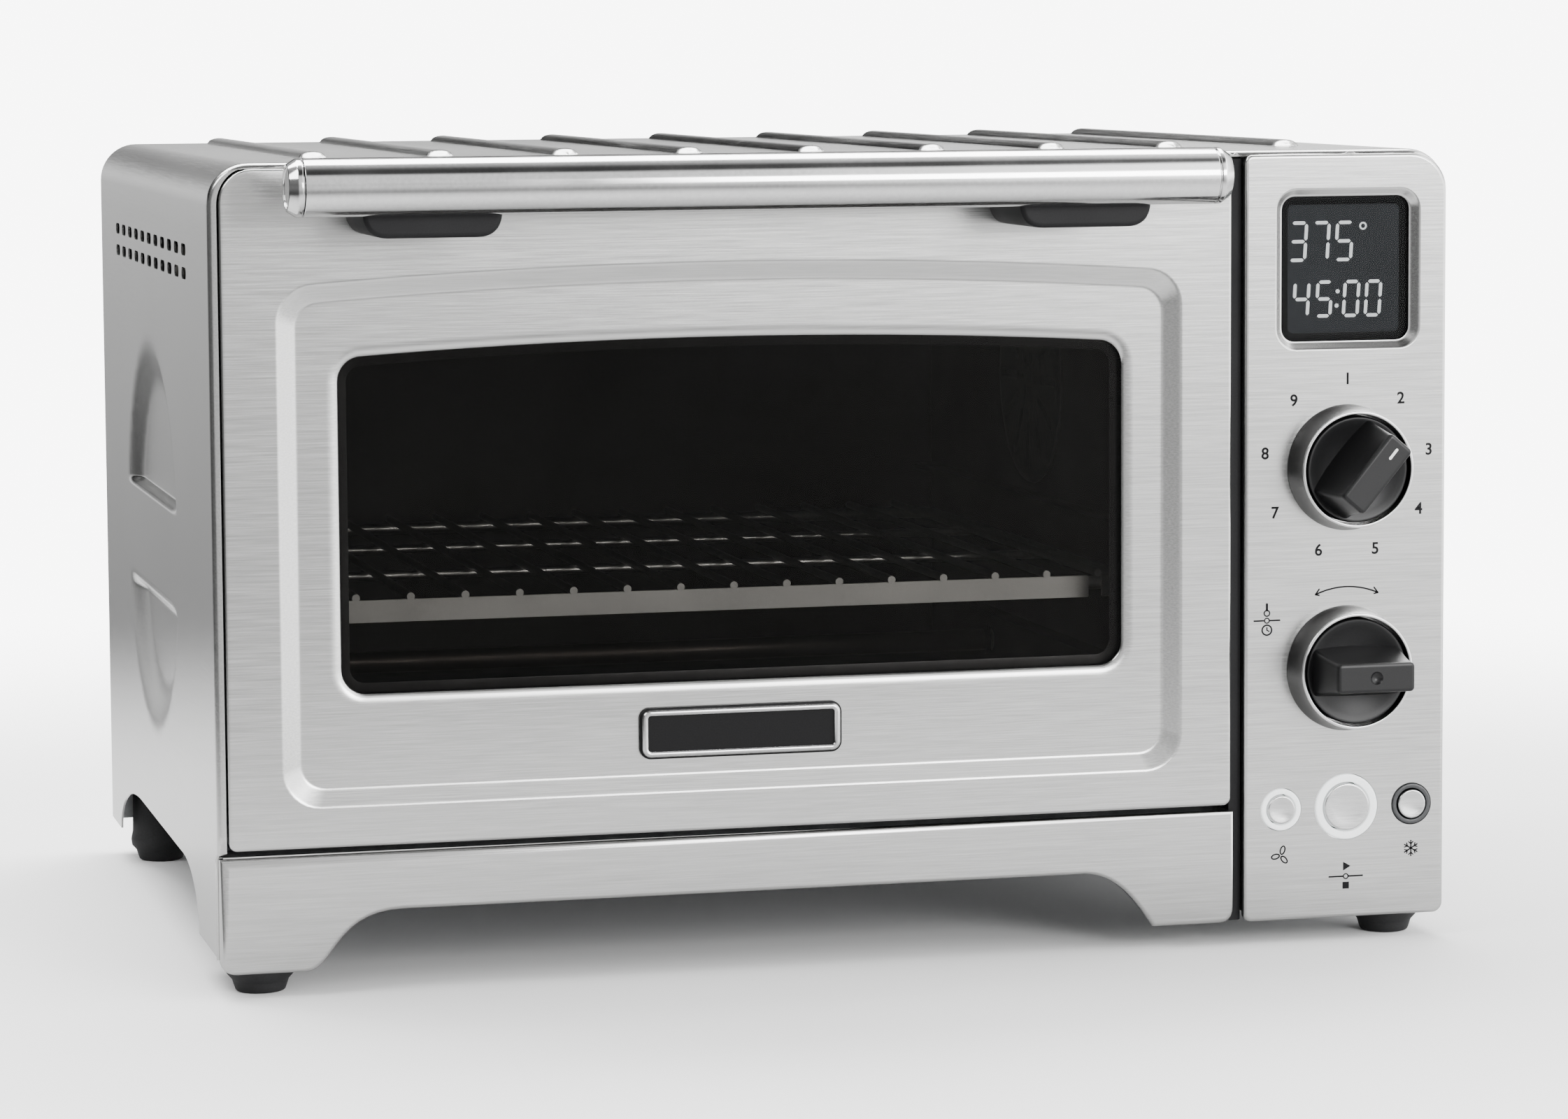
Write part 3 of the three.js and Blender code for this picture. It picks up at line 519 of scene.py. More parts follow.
steel_front = brushed("brushed stainless front", "x", sheet_tone, 0.23)
base_low, base_high = millimetres("base_panel")
left, right, bottom, top, arch_top = base_low[0], base_high[0], base_low[2], base_high[2], 30.1
plate_depth = 2.9
base_outline = [(left, top)]
base_outline += eased([(left, top), (left, bottom, 7), (left + 20, bottom)], 6)[1:-1]
base_outline += [(-203, bottom)]
base_outline += list(bezier((-203, bottom), (-193, 10), (-193, arch_top), (-168, arch_top), 14))
base_outline += [(x, arch_top) for x in (-168, -80, 0, 60, 91.8)]
base_outline += list(bezier((91.8, arch_top), (105, 29), (112, 18), (118.4, bottom), 14))
base_outline += [(118.4, bottom)]
base_outline += eased([(118.4, bottom), (right, bottom, 6), (right, top)], 6)[1:-1] + [(right, top)]
plinth = pillow(
    base_outline, face + plate_depth, face,
    lambda p: 1.2 + 2.6 * smooth((left + 7 - p[0]) / 7) * smooth((p[1] - bottom) / 10))
fold = block(left + 2, right - 1, face + 2.0, face + 17, top - sheet, top)
settle("plinth_panel", gathered(plinth, fold), steel_front, "cabinet",
       ["base_panel"])


# ---------------- door skin
# One deep-drawn stainless skin: a folded rim, a shallow pressed field with soft shoulders, and a
# lip rolled in round the window. It clips over the inner frame.
def ring_of(spec, grow=0.0, corner_steps=8, bow_steps=28):
    """Crowned rectangle (x0, x1, z0, z1, four radii, crown), anticlockwise from bottom left."""
    x0, x1, z0, z1, radii, crown = spec
    x0, x1, z0, z1 = x0 - grow, x1 + grow, z0 - grow, z1 + grow
    corners = ((x0, z0, 1, 1), (x1, z0, -1, 1), (x1, z1, -1, -1), (x0, z1, 1, -1))
    points = []
    for k, (x, z, sign_x, sign_z) in enumerate(corners):
        r = max(0.4, radii[k] + grow)
        for i in range(corner_steps + 1):
            a = math.pi + math.pi / 2 * (k + i / corner_steps)
            points.append((x + sign_x * r + r * math.cos(a), z + sign_z * r + r * math.sin(a)))
        if k == 2:
            first, last = x1 - r, x0 + max(0.4, radii[3] + grow)
            for i in range(1, bow_steps):
                t = i / bow_steps
                points.append((first + (last - first) * t, z1 + crown * 4 * t * (1 - t)))
    return points


def between(a, b, t):
    """A crowned rectangle part of the way from one to another."""
    numbers = [p + (q - p) * t for p, q in zip(a[:4], b[:4])]
    radii = [p + (q - p) * t for p, q in zip(a[4], b[4])]
    return (*numbers, radii, a[5] + (b[5] - a[5]) * t)


def ramp(t, share=0.13):
    """A straight slope with rounded ends."""
    if t < share:
        return t * t / (2 * share * (1 - share))
    if t > 1 - share:
        return 1 - (1 - t) ** 2 / (2 * share * (1 - share))
    return (t - share / 2) / (1 - share)


def level(spec, grow, y):
    """The outline of a crowned rectangle, grown by an amount and set at a depth."""
    return [(x, y, z) for x, z in ring_of(spec, grow)]


door_low, door_high = millimetres("door_panel")
door_x = middle("door_panel")[0]
door_spec = (door_low[0], door_high[0], door_low[2], door_high[2], (3, 3, 3, 12), 0.0)
press_spec = (door_x - 170.5, door_x + 170.5, 68.0, 257.8, (14, 14, 14, 14), 5.5)
field_spec = (door_x - 163, door_x + 163, 75.2, 250.6, (9, 9, 9, 9), 5.5)
window_spec = (door_x - 150.8, door_x + 150.8, 105.7, 234.0, (12, 12, 12, 12), 4.3)
press_depth, lip_out, lip_in, lip_depth, rim_back, sill_back = 3.0, 1.2, -3.0, 1.4, 12.0, 8.0
rings = [level(door_spec, 0, face + rim_back)]
rings += [level(door_spec, -across, face + down) for across, down in quarter(5)]
rings.append(level(door_spec, -1.4, face))
rings.append(level(press_spec, 0.4, face))
for t in steps(0, 1, 1 / 14):
    rings.append(level(between(press_spec, field_spec, t), 0, face + press_depth * ramp(t)))
rings.append(level(field_spec, -0.5, face + press_depth))
rings.append(level(window_spec, lip_out + 0.4, face + press_depth))
for across, down in quarter(7):
    rings.append(level(window_spec, lip_in + (lip_out - lip_in) * down,
                       face + press_depth + lip_depth * across))
back_of_skin = [
    (window_spec, lip_in, 4.5), (window_spec, lip_out + 0.6, 3.9), (field_spec, -0.6, 3.8),
    (press_spec, -0.6, 0.85), (door_spec, -sheet - 0.6, 0.85), (door_spec, -sheet, 1.6),
    (door_spec, -sheet, rim_back)]
rings += [level(spec, grow, face + deep) for spec, grow, deep in back_of_skin]
for ring in rings:
    for i, (x, y, z) in enumerate(ring):
        if z < door_low[2] + 1.2:
            ring[i] = (x, min(y, face + sill_back), z)
hinge_places, hinge_room = (door_x - 172, door_x + 172), 4
hinge_slots = gathered(*[
    block(x - hinge_room, x + hinge_room, face + 2.5, face + rim_back + 2, door_low[2] - 2,
          door_low[2] + 5) for x in hinge_places])
notched = carve(skin(rings, loop=True), hinge_slots)
settle("door_skin", notched, steel_front, "door", ["door_panel"], 50)


# ---------------- door glass and inner frame
# Two tempered panes, a black band behind the outer one that stands in for the shade the rolled
# lip casts on the glass (painted shade), and the pressed frame that holds them.
def tinted(name, through, ior=1.15):
    """Glass: clear to the eye but for its tint, with a mirror gloss that grows at a slant."""
    made, tree, shader = finish(name, {"Metallic": 1.0, "Base Color": linear(0xFFFFFF)})
    coords = add(tree, "ShaderNodeTexCoord").outputs["Object"]
    smears = noise(tree, coords, 22.0, Detail=3.0)
    tree.links.new(remap(tree, smears, 0.35, 0.75, 0.01, 0.04), shader.inputs["Roughness"])
    paler = (*[min(1, c * 1.06) for c in linear(through)[:3]], 1)
    clear = add(tree, "ShaderNodeBsdfTransparent", {
        "Color": shades(tree, smears, (0, linear(through)), (1, paler))})
    gloss = add(tree, "ShaderNodeFresnel", {"IOR": ior})
    blend = add(tree, "ShaderNodeMixShader", {
        "Fac": gloss.outputs[0], 1: clear.outputs[0], 2: shader.outputs[0]})
    tree.links.new(blend.outputs[0], tree.nodes["Material Output"].inputs["Surface"])
    return made


def coated(name, dark, light, grain, rough, bump=0.0, **sockets):
    """A mottled finish: `grain` is the size of its mottle and `bump` its height, in mm."""
    made, tree, shader = finish(name, {key.replace("_", " "): v for key, v in sockets.items()})
    coords = add(tree, "ShaderNodeTexCoord").outputs["Object"]
    fine = noise(tree, coords, 1 / (grain * MM), Detail=3.0, Roughness=0.6)
    tree.links.new(shades(tree, fine, (0.32, linear(dark)), (0.68, linear(light))),
                   shader.inputs["Base Color"])
    wear = noise(tree, coords, 30.0, Detail=2.0)
    tree.links.new(remap(tree, wear, 0.3, 0.7, *rough), shader.inputs["Roughness"])
    if bump:
        relief = add(tree, "ShaderNodeBump", {"Height": fine, "Strength": 0.6, "Distance": bump * MM})
        tree.links.new(relief.outputs["Normal"], shader.inputs["Normal"])
    return made


def framed(outer, inner, back, front, radius=0.6):
    """A closed ring plate between two outlines of one count, its front edges rounded."""
    (outer_spec, out), (inner_spec, into) = outer, inner
    rings = [level(outer_spec, out, back)]
    rings += [level(outer_spec, out - radius * a, front + radius * b) for a, b in quarter(3)]
    rings += [level(inner_spec, into + radius * b, front + radius * a) for a, b in quarter(3)]
    rings.append(level(inner_spec, into, back))
    return skin(rings, loop=True)


panes = (("window_pane", "door_glass", tinted("smoked oven glass", 0xCFCECD)),
         ("inner_pane", "door_inner_glass", tinted("clear oven glass", 0xEFEFEE)))
for name, node, glass in panes:
    low, high = millimetres(node)
    settle(name, pillow(ring_of(window_spec, 4.0), high[1], low[1], 0.5, 3), glass, "door",
           [node])
# Painted shade: a black band, drawn like a fired-on border, round the inside of the window where the
# rolled lip shades the glass.
shade_band_black = coated("black band, painted shade", 0x050506, 0x0A0A0B, 0.4, (0.16, 0.22))
glass_back = millimetres("door_glass")[1][1]
settle("window_shade_band", framed((window_spec, 3.6), (window_spec, -6.6), glass_back + 0.25,
                               glass_back + 0.05, 0.02), shade_band_black, "door")

inner_steel = coated("aluminised sheet", 0x6E7072, 0x868889, 3.0, (0.36, 0.46), 0.01, Metallic=1.0)
frame_low, frame_high = millimetres("door_inner_frame")
plate = (frame_low[0], frame_high[0], frame_low[2], frame_high[2], (1, 1, 1, 12), 0.0)
pad = (door_low[0] + 12, door_high[0] - 12, 71.5, door_high[2] - 12, (6, 6, 6, 6), 0.0)
pad_back, plate_front = frame_high[1], frame_low[1]
profile = [(plate, 0, plate_front), (plate, 0, plate_front + 0.8), (pad, 1.6, plate_front + 0.8),
           (pad, 0.4, plate_front + 1.3), (pad, 0, plate_front + 2.4), (pad, 0, pad_back - 2.2),
           (pad, -0.7, pad_back - 0.7), (pad, -2.2, pad_back), (pad, -3, pad_back),
           (window_spec, -1.4, pad_back), (window_spec, -2.4, pad_back - 0.4),
           (window_spec, -3, pad_back - 1.4), (window_spec, -3, plate_front)]
notches = gathered(*[
    block(x - hinge_room, x + hinge_room, plate_front - 1, pad_back + 1, 50, 71.5)
    for x in hinge_places])
inner_frame = skin([level(spec, grow, y) for spec, grow, y in profile], loop=True)
settle("inner_frame", carve(inner_frame, notches), inner_steel, "door",
       ["door_inner_frame"], 50)


# ---------------- door handle
# A polished steel tube with turned end caps, held off the door by two moulded brackets.
def turned(profile, centre, axis, count=48):
    """Turns a closed profile of (radius, place, rounding) about an axis through the centre."""
    outline = eased([(p[0], p[1], p[2] if len(p) > 2 else 0) for p in profile])
    rings = []
    for i in range(count):
        a = 2 * math.pi * i / count
        ring = []
        for r, place in outline:
            u, v = max(0.0, r) * math.cos(a), max(0.0, r) * math.sin(a)
            point = {"x": (place, u, v), "y": (u, place, v), "z": (u, v, place)}[axis]
            ring.append([p + c for p, c in zip(point, centre)])
        rings.append(ring)
    shape = skin(rings, loop=True)
    bmesh.ops.remove_doubles(shape, verts=shape.verts, dist=1e-7)
    bmesh.ops.recalc_face_normals(shape, faces=shape.faces)
    return shape


def rod_of(radius, start, end, centre, axis="y", count=48):
    """A plain round rod along an axis, from one place on it to another."""
    return turned([(0, start), (radius, start), (radius, end), (0, end)], centre, axis, count)


def polished(name, light=0xD8D8D8, rough=(0.10, 0.17)):
    """Polished steel, with faint turning marks and wipe smears."""
    return coated(name, light - 0x0A0A0A, light, 1.6, rough, 0.0015, Metallic=1.0)


bar_low, bar_high = millimetres("handle_bar")
bar_middle = (0, *middle("handle_bar")[1:])
bar_radius, tube_wall = (bar_high[2] - bar_low[2]) / 2, 1.2
handle_steel = polished("polished handle steel")
bar_left, bar_right = bar_low[0], bar_high[0]
tube = [(bar_radius - tube_wall, bar_left), (bar_radius, bar_left, 0.3),
        (bar_radius, bar_right, 0.3), (bar_radius - tube_wall, bar_right)]
settle("handle_tube", turned(tube, bar_middle, "x", 72), handle_steel, "door",
       ["handle_bar"])
moulded = coated("satin black moulding", 0x0E0E0F, 0x161618, 0.5, (0.5, 0.6), 0.004,
                 Specular_IOR_Level=0.2)
for word, side in (("left", -1), ("right", 1)):
    start = (bar_right if side > 0 else bar_left) + side * 0.3
    cap = [(0, start), (9.6, start), (9.6, start + side * 0.5), (bar_radius, start + side * 0.5, 0.15),
           (bar_radius, start + side * 2.1, 0.4), (8.2, start + side * 5.4, 0.4),
           (7.0, start + side * 5.4, 0.2), (7.0, start + side * 4.9, 0.2), (0, start + side * 4.9)]
    settle(f"handle_end_{word}", turned(cap, bar_middle, "x", 56), handle_steel, "door",
           [f"handle_cap_{word}"])
    low, high = millimetres(f"handle_bracket_{word}")
    outline = eased([(low[0] + 2, low[2], 8), (high[0] - 2, low[2], 8), (high[0], high[2], 2),
                     (low[0], high[2], 2)], 8)
    saddle = rod_of(bar_radius + 0.25, low[0] - 5, high[0] + 5, bar_middle, "x", 56)
    settle(f"handle_mount_{word}", carve(pillow(outline, high[1], low[1], 1.6), saddle), moulded,
           "door", [f"handle_bracket_{word}"], 50)


# ---------------- badge
# A blank plate: a black tray in a raised bright rim, stuck to the pressed field under the window;
# the tray's thin edge outside the rim is painted shade for the gap round the badge.
low, high = millimetres("name_plate")
badge = (low[0], high[0], low[2], high[2], (4, 4, 4, 4), 0.0)
badge_rim = polished("badge rim steel", 0xC8C8C8)
badge_black_and_gap_shade = coated("badge plate", 0x0B0B0C, 0x121213, 0.5, (0.4, 0.5), Specular_IOR_Level=0.12)
# Painted shade: the black tray runs 0.7 mm past the rim all round, a dark outline for the shadow gap
# round the badge; inside the rim it is the badge's own black.
settle("badge_tray", pillow(ring_of(badge), high[1], high[1] - 1.1, 0.5, 3), badge_black_and_gap_shade, "door",
       ["name_plate"])
settle("badge_rim", framed((badge, -0.7), (badge, -3.1), high[1] - 1.0, low[1] - 0.2, 1.0), badge_rim,
       "door")


# ---------------- control panel
# A brushed plate beside the door, punched for the display, the two shafts and the three buttons;
# a black strip fills the joint between it and the door.
panel_low, panel_high = millimetres("control_panel")
left, right, bottom, top = panel_low[0], panel_high[0], panel_low[2], panel_high[2]
knob_x, knob_heights = 195.4, {"upper": 181.0, "lower": 104.5}
buttons = {"left": (169.2, 8.0, 5.8), "middle": (195.5, 12.5, 9.4), "right": (221.9, 7.8, 5.9)}
button_z = 51.2
window_low, window_high = millimetres("display_window")
bezel = (window_low[0] - 2.5, window_high[0] + 3.6, window_low[2] - 3.0, window_high[2] + 1.8,
         (8.5, 8.5, 8.5, 8.5), 0.0)
bezel_mouth = (window_low[0] + 0.7, window_high[0] - 0.3, window_low[2] + 0.3, window_high[2] - 1.4,
               (5.2, 5.2, 5.2, 5.2), 0.0)
outline = ring_of((left, right, bottom, top, (3, 4, 14.5, 3), 0.0), 0, 10, 2)
plate = pillow(outline, face + plate_depth, face, 1.2)
holes = [prism([ring_of(bezel, -0.02)], "y", face - 1, face + 5)]
holes += [rod_of(5, face - 1, face + 5, (knob_x, 0, z), "y", 32) for z in knob_heights.values()]
holes += [rod_of(ring + 0.3, face - 1, face + 5, (x, 0, button_z), "y", 56)
          for x, ring, cap in buttons.values()]
folds = [block(left, left + sheet, face + 2.0, face + 8, bottom + 4, top - 4),
         block(right - sheet, right, face + 2.0, wrap_front - 0.3, bottom + 5, top - 14)]
panel_shape = gathered(*folds)
panel_shape.from_mesh(carve(plate, *holes))
settle("control_plate", panel_shape, steel_front, "cabinet", ["control_panel"])
rings = [level(between(bezel, bezel_mouth, t), 0, face + 0.05 + 2.3 * ramp(t, 0.2))
         for t in steps(0, 1, 1 / 11)]
rings += [level(bezel_mouth, 0, face + 3.2), level(bezel, 1.0, face + 3.2),
          level(bezel, 0.0, face + 2.95)]
settle("display_bezel", skin(rings, loop=True), steel_front, "cabinet", (), 50)
low, high = millimetres("divider_strip")
settle("joint_strip", block(low[0], high[0], low[1], high[1], low[2], high[2], 0.8), moulded,
       "cabinet", ["divider_strip"])


# ---------------- display
# A glass and a black mask over a dark panel with lit seven-segment digits: a temperature over
# a time.
display_pane = tinted("display glass", 0xE8E8E8, 1.12)
settle("display_pane", pillow(ring_of(bezel_mouth, 1.4), window_high[1], window_low[1] + 0.6, 0.3, 3),
       display_pane, "cabinet", ["display_window"])
module_front = millimetres("display_module")[0][1]
mask = coated("display mask", 0x040405, 0x08090A, 0.5, (0.3, 0.4), Specular_IOR_Level=0.06)
settle("display_mask", framed((bezel_mouth, 1.2), (bezel_mouth, -3.2), window_high[1] + 0.2,
                              window_high[1] + 0.05, 0.02), mask, "cabinet")
screen = coated("display panel", 0x2E3033, 0x36393C, 0.6, (0.35, 0.45), Specular_IOR_Level=0.06)
settle("display_panel", pillow(ring_of(bezel_mouth, 1.2), module_front - 0.02, window_high[1] + 0.22,
                               0.02, 2), screen, "cabinet")
glow = coated("display digits", 0xDDE2E2, 0xECF0F0, 0.8, (0.5, 0.6),
              Emission_Color=linear(0xE8EEF0), Emission_Strength=0.55)
segments = {  # corner to corner on a grid 1 wide and 2 high
    "a": ((0, 2), (1, 2)), "b": ((1, 2), (1, 1)), "c": ((1, 1), (1, 0)), "d": ((0, 0), (1, 0)),
    "e": ((0, 0), (0, 1)), "f": ((0, 1), (0, 2)), "g": ((0, 1), (1, 1))}
lit = {"0": "abcdef", "3": "abcdg", "4": "bcfg", "5": "acdfg", "7": "abc"}


def along_and_across(start, end, wide):
    """The direction from one point to another, and half a width square to it."""
    along = (end - start).normalized()
    return along, Vector((-along.y, along.x)) * wide / 2


def seven_segment(digit, x, z, wide, high, bar, slant=0.06):
    """Outlines of a digit's lit bars, as pointed strips that lean a little to the right."""
    strips = []
    for name in lit[digit]:
        start, end = [Vector((x + u * wide, z + v * high / 2)) for u, v in segments[name]]
        along, across = along_and_across(start, end, bar)
        start, end = start + along * 0.35, end - along * 0.35
        tip = along * bar / 2
        strip = [start, start + tip - across, end - tip - across, end,
                 end - tip + across, start + tip + across]
        strips.append([(p.x + slant * (p.y - z), p.y) for p in strip])
    return strips


def disc_outline(x, z, radius, count=20):
    return arc((x, z), radius, radius, 0, 360, count)[:-1]


strips = []
for digit, x in (("3", 173.6), ("7", 182.6), ("5", 192.0)):
    strips += seven_segment(digit, x, 259.4, 6.0, 14.0, 1.3)
for digit, x in (("4", 175.2), ("5", 184.3), ("0", 195.2), ("0", 204.0)):
    strips += seven_segment(digit, x, 238.2, 5.5, 12.8, 1.3)
strips += [disc_outline(192.5, 242.0, 0.8), disc_outline(192.9, 247.4, 0.8)]
glow_front, degree = window_high[1] + 0.12, (203.0, 272.0)
ring_mark = prism([disc_outline(*degree, 1.5)], "y", glow_front, glow_front + 0.08)
hollow = prism([disc_outline(*degree, 0.85)], "y", glow_front - 1, glow_front + 1)
digits = prism(strips, "y", glow_front, glow_front + 0.08)
digits.from_mesh(carve(ring_mark, hollow))
settle("display_digits", digits, glow, "cabinet")


# ---------------- knobs and collars
# Flared steel collars, their cones in steel darkened as painted shade under a rim of bright
# polished steel; black knobs with a dished face and a finger blade. The upper knob turns with its
# shaft; the lower one also slides along its shaft when pushed.
# Painted shade: the collar cones' steel is darkened to a dark grey (0x686868) so that they look as dark
# as the steel's reflections; the lower shaft shares it.
collar_steel_painted_shade = polished("collar steel with painted shade", 0x686868, (0.2, 0.28))
knob_black = coated("knob moulding", 0x0E0E0F, 0x151516, 0.5, (0.3, 0.4), 0.002,
                    Specular_IOR_Level=0.3)
white_ink = coated("white ink", 0xE4E4E2, 0xF2F2F0, 0.5, (0.45, 0.6))
collar_top, knob_face, blade_tip = face - 12.2, face - 11.2, face - 32.0


def knob_turned(points, turn, x, z):
    """Turns (across, y, along) points clockwise, as seen from the front, about a knob's axis."""
    c, s = math.cos(turn), math.sin(turn)
    return [(x + u * c + v * s, y, z - u * s + v * c) for u, y, v in points]


def knob_disc(x, z):
    """The round skirt, its face dished, with a rounded rim."""
    profile = [(0, knob_face + 3.0), (6, knob_face + 2.9), (12, knob_face + 2.1),
               (16.5, knob_face + 0.9), (18.6, knob_face + 0.2), (19.9, knob_face, 1.0),
               (20.2, knob_face + 3), (20.2, face - 4.4), (3.4, face - 4.4),
               (3.4, knob_face + 6), (0, knob_face + 6)]
    return turned(profile, (x, 0, z), "y", 72)


def knob_blade(x, z, turn):
    """A finger blade: wide at the root, hollow along both flanks, blunt at the tip."""
    rings = []
    root, count = knob_face + 4.0, 14
    for i in range(count + 1):
        t = i / count
        wide, long = 11 + 9 * (1 - t) ** 1.7, 30.4 + 5.4 * (1 - t) ** 1.2
        spec = (-wide / 2, wide / 2, -long / 2, long / 2, (1.6, 1.6, 1.6, 1.6), 0.0)
        y = root + (blade_tip + 0.8 - root) * t
        rings.append([(u, y, v) for u, v in ring_of(spec, 0, 4, 8)])
    for grow, y in ((-0.25, 0.25), (-0.8, 0.0), (-1.4, 0.0)):
        rings.append([(u, blade_tip + y, v) for u, v in ring_of(spec, grow, 4, 8)])
    return skin([knob_turned(ring, turn, x, z) for ring in rings])


bore, rim_depth = 20.95, 1.0
for word, z in knob_heights.items():
    collar = [(bore, face - 0.3), (24, face - 0.3, 0.2), (23.4, face - 2.0), (22.4, face - 5.4),
              (21.9, face - 8.6), (21.7, collar_top + rim_depth), (bore, collar_top + rim_depth)]
    rim = [(bore, collar_top + rim_depth + 0.02), (22.1, collar_top + rim_depth + 0.02, 0.3),
           (22.1, collar_top, 0.4), (bore, collar_top, 0.3)]
    settle(f"collar_rim_{word}", turned(rim, (knob_x, 0, z), "y", 96), handle_steel, "cabinet")
    settle(f"collar_ring_{word}", turned(collar, (knob_x, 0, z), "y", 96), collar_steel_painted_shade, "cabinet",
           [f"knob_collar_{word}"])
upper, lower = [(knob_x, 0, z) for z in knob_heights.values()]
turn = math.radians(40)
shaft = turned([(0, face - 6), (3, face - 6), (3, face + 11, 0.5), (0, face + 11)], upper, "y", 24)
settle("upper_dial", gathered(knob_disc(knob_x, upper[2]), knob_blade(knob_x, upper[2], turn), shaft),
       knob_black, "upper_knob", ["knob_upper"])
mark = [(u, v + (11.6 if v > 0 else 7.6)) for u, v in slot_outline(0, 0, 1.1, 1.1)]
mark_rings = [knob_turned([(u, blade_tip + depth, v) for u, v in mark], turn, knob_x, upper[2])
              for depth in (0.3, -0.05)]
settle("dial_pointer", skin(mark_rings), white_ink, "upper_knob")
dimple = bmesh.new()
bmesh.ops.create_icosphere(dimple, subdivisions=4, radius=3.2 * MM)
bmesh.ops.translate(dimple, vec=Vector((knob_x, blade_tip - 2.0, lower[2])) * MM, verts=dimple.verts)
lower_blade = knob_blade(knob_x, lower[2], math.radians(90))
lower_knob = bmesh.new()
for solid, cutters in ((knob_disc(knob_x, lower[2]), []), (lower_blade, [dimple])):
    shaft_hole = rod_of(3.3, face - 4.8, face - 12, lower, "y", 24)
    lower_knob.from_mesh(carve(solid, shaft_hole, *cutters))
settle("lower_dial", lower_knob, knob_black, "lower_knob", ["knob_lower"], 25)
settle("lower_dial_shaft",
       turned([(0, face - 7.8), (3, face - 7.8, 0.4), (3, face + 11, 0.4), (0, face + 11)], lower,
              "y", 24), collar_steel_painted_shade, "lower_shaft", ["knob_shaft_lower"])


# ---------------- buttons
# Brushed caps in light rings; the left and middle rings are lit from behind, the right one is off.
cap_steel = brushed("brushed button caps", "x", 0xCECECE, 0.2)
lit_ring = coated("lit ring", 0xE9ECEC, 0xF6F8F8, 0.8, (0.35, 0.45),
                  Emission_Color=linear(0xF2F6F7), Emission_Strength=0.8)
dark_ring = coated("unlit ring", 0x2C2D2F, 0x3A3B3D, 0.8, (0.3, 0.4))
for word, (x, ring, cap) in buttons.items():
    inner = cap + 0.15
    hoop = [(inner, face + 6.6), (inner, face - 0.45, 0.3), (ring, face - 0.55, 0.7), (ring, face + 6.6)]
    settle(f"light_ring_{word}", turned(hoop, (x, 0, button_z), "y", 64),
           dark_ring if word == "right" else lit_ring, "cabinet",
           [f"button_ring_{word}"])
    stem = millimetres(f"button_{word}")[1][1]
    press = [(0, face - 0.55), (cap * 0.6, face - 0.85), (cap - 0.4, face - 1.2, 0.7),
             (cap - 0.4, face + 5), (2.5, face + 5), (2.5, stem), (0, stem)]
    settle(f"push_cap_{word}", turned(press, (x, 0, button_z), "y", 64), cap_steel,
           f"{word}_button", [f"button_{word}"])


# ---------------- printed marks
# Dark grey silk-screened marks: numbers round the upper knob, and plain signs for turning, for
# temperature over time, for the fan, for start over stop and for frozen food.
def repeated():
    """Geometry nodes that repeat a shape along a line, or round an axis, or both."""
    group = bpy.data.node_groups.new("repeat", "GeometryNodeTree")
    for name, kind in (("Shape", "Geometry"), ("Count", "Int"), ("Pitch", "Vector"),
                       ("Turn", "Vector"), ("Centre", "Vector"), ("Material", "Material")):
        group.interface.new_socket(name, in_out="INPUT", socket_type="NodeSocket" + kind)
    group.interface.new_socket("Shapes", in_out="OUTPUT", socket_type="NodeSocketGeometry")
    given = group.nodes.new("NodeGroupInput").outputs
    centred = add(group, "GeometryNodeTransform", {
        "Geometry": given["Shape"], "Translation": add(group, "ShaderNodeVectorMath", {
            0: given["Centre"], 1: (-1, -1, -1)}, operation="MULTIPLY").outputs[0]})
    line = add(group, "GeometryNodeMeshLine", {
        "Count": given["Count"], "Start Location": given["Centre"], "Offset": given["Pitch"]})
    angle = add(group, "ShaderNodeVectorMath", {
        0: given["Turn"], "Scale": add(group, "GeometryNodeInputIndex").outputs[0]},
        operation="SCALE")
    spread = add(group, "GeometryNodeInstanceOnPoints", {
        "Points": line.outputs[0], "Instance": centred.outputs[0], "Rotation": angle.outputs[0]})
    real = add(group, "GeometryNodeRealizeInstances", {"Geometry": spread.outputs[0]})
    painted = add(group, "GeometryNodeSetMaterial", {
        "Geometry": real.outputs[0], "Material": given["Material"]})
    add(group, "NodeGroupOutput", {"Shapes": painted.outputs[0]})
    return group


repeat_group = repeated()
sockets = {item.name: item.identifier for item in repeat_group.interface.items_tree
           if item.in_out == "INPUT"}


def copies(shape, material, count, pitch=(0, 0, 0), turn=(0, 0, 0), centre=(0, 0, 0)):
    """The mesh of `count` copies of a bmesh; pitch and centre in mm, turn in degrees."""
    mesh = bpy.data.meshes.new("one")
    shape.to_mesh(mesh)
    shape.free()
    holder = placed("one", mesh)
    nodes = holder.modifiers.new("repeat", "NODES")
    nodes.node_group = repeat_group
    values = {"Count": count, "Pitch": [c * MM for c in pitch], "Centre": [c * MM for c in centre],
              "Turn": [math.radians(c) for c in turn], "Material": material}
    for key, value in values.items():
        nodes[sockets[key]] = value
    holder.update_tag()
    result = evaluated(holder)
    bpy.data.objects.remove(holder)
    bpy.data.meshes.remove(mesh)
    return result


ink = coated("dark grey ink", 0x101011, 0x18181A, 0.4, (0.55, 0.7), Specular_IOR_Level=0.1)
ink_front, ink_back = face - 0.05, face + 0.2


def stroke(points, wide=0.62):
    """Outlines of a line drawn through points, one per stretch."""
    strips = []
    for start, end in zip(points, points[1:]):
        start, end = Vector(start), Vector(end)
        along, across = along_and_across(start, end, wide)
        start, end = start - along * wide * 0.25, end + along * wide * 0.25
        strips.append([tuple(start - across), tuple(end - across), tuple(end + across),
                       tuple(start + across)])
    return strips


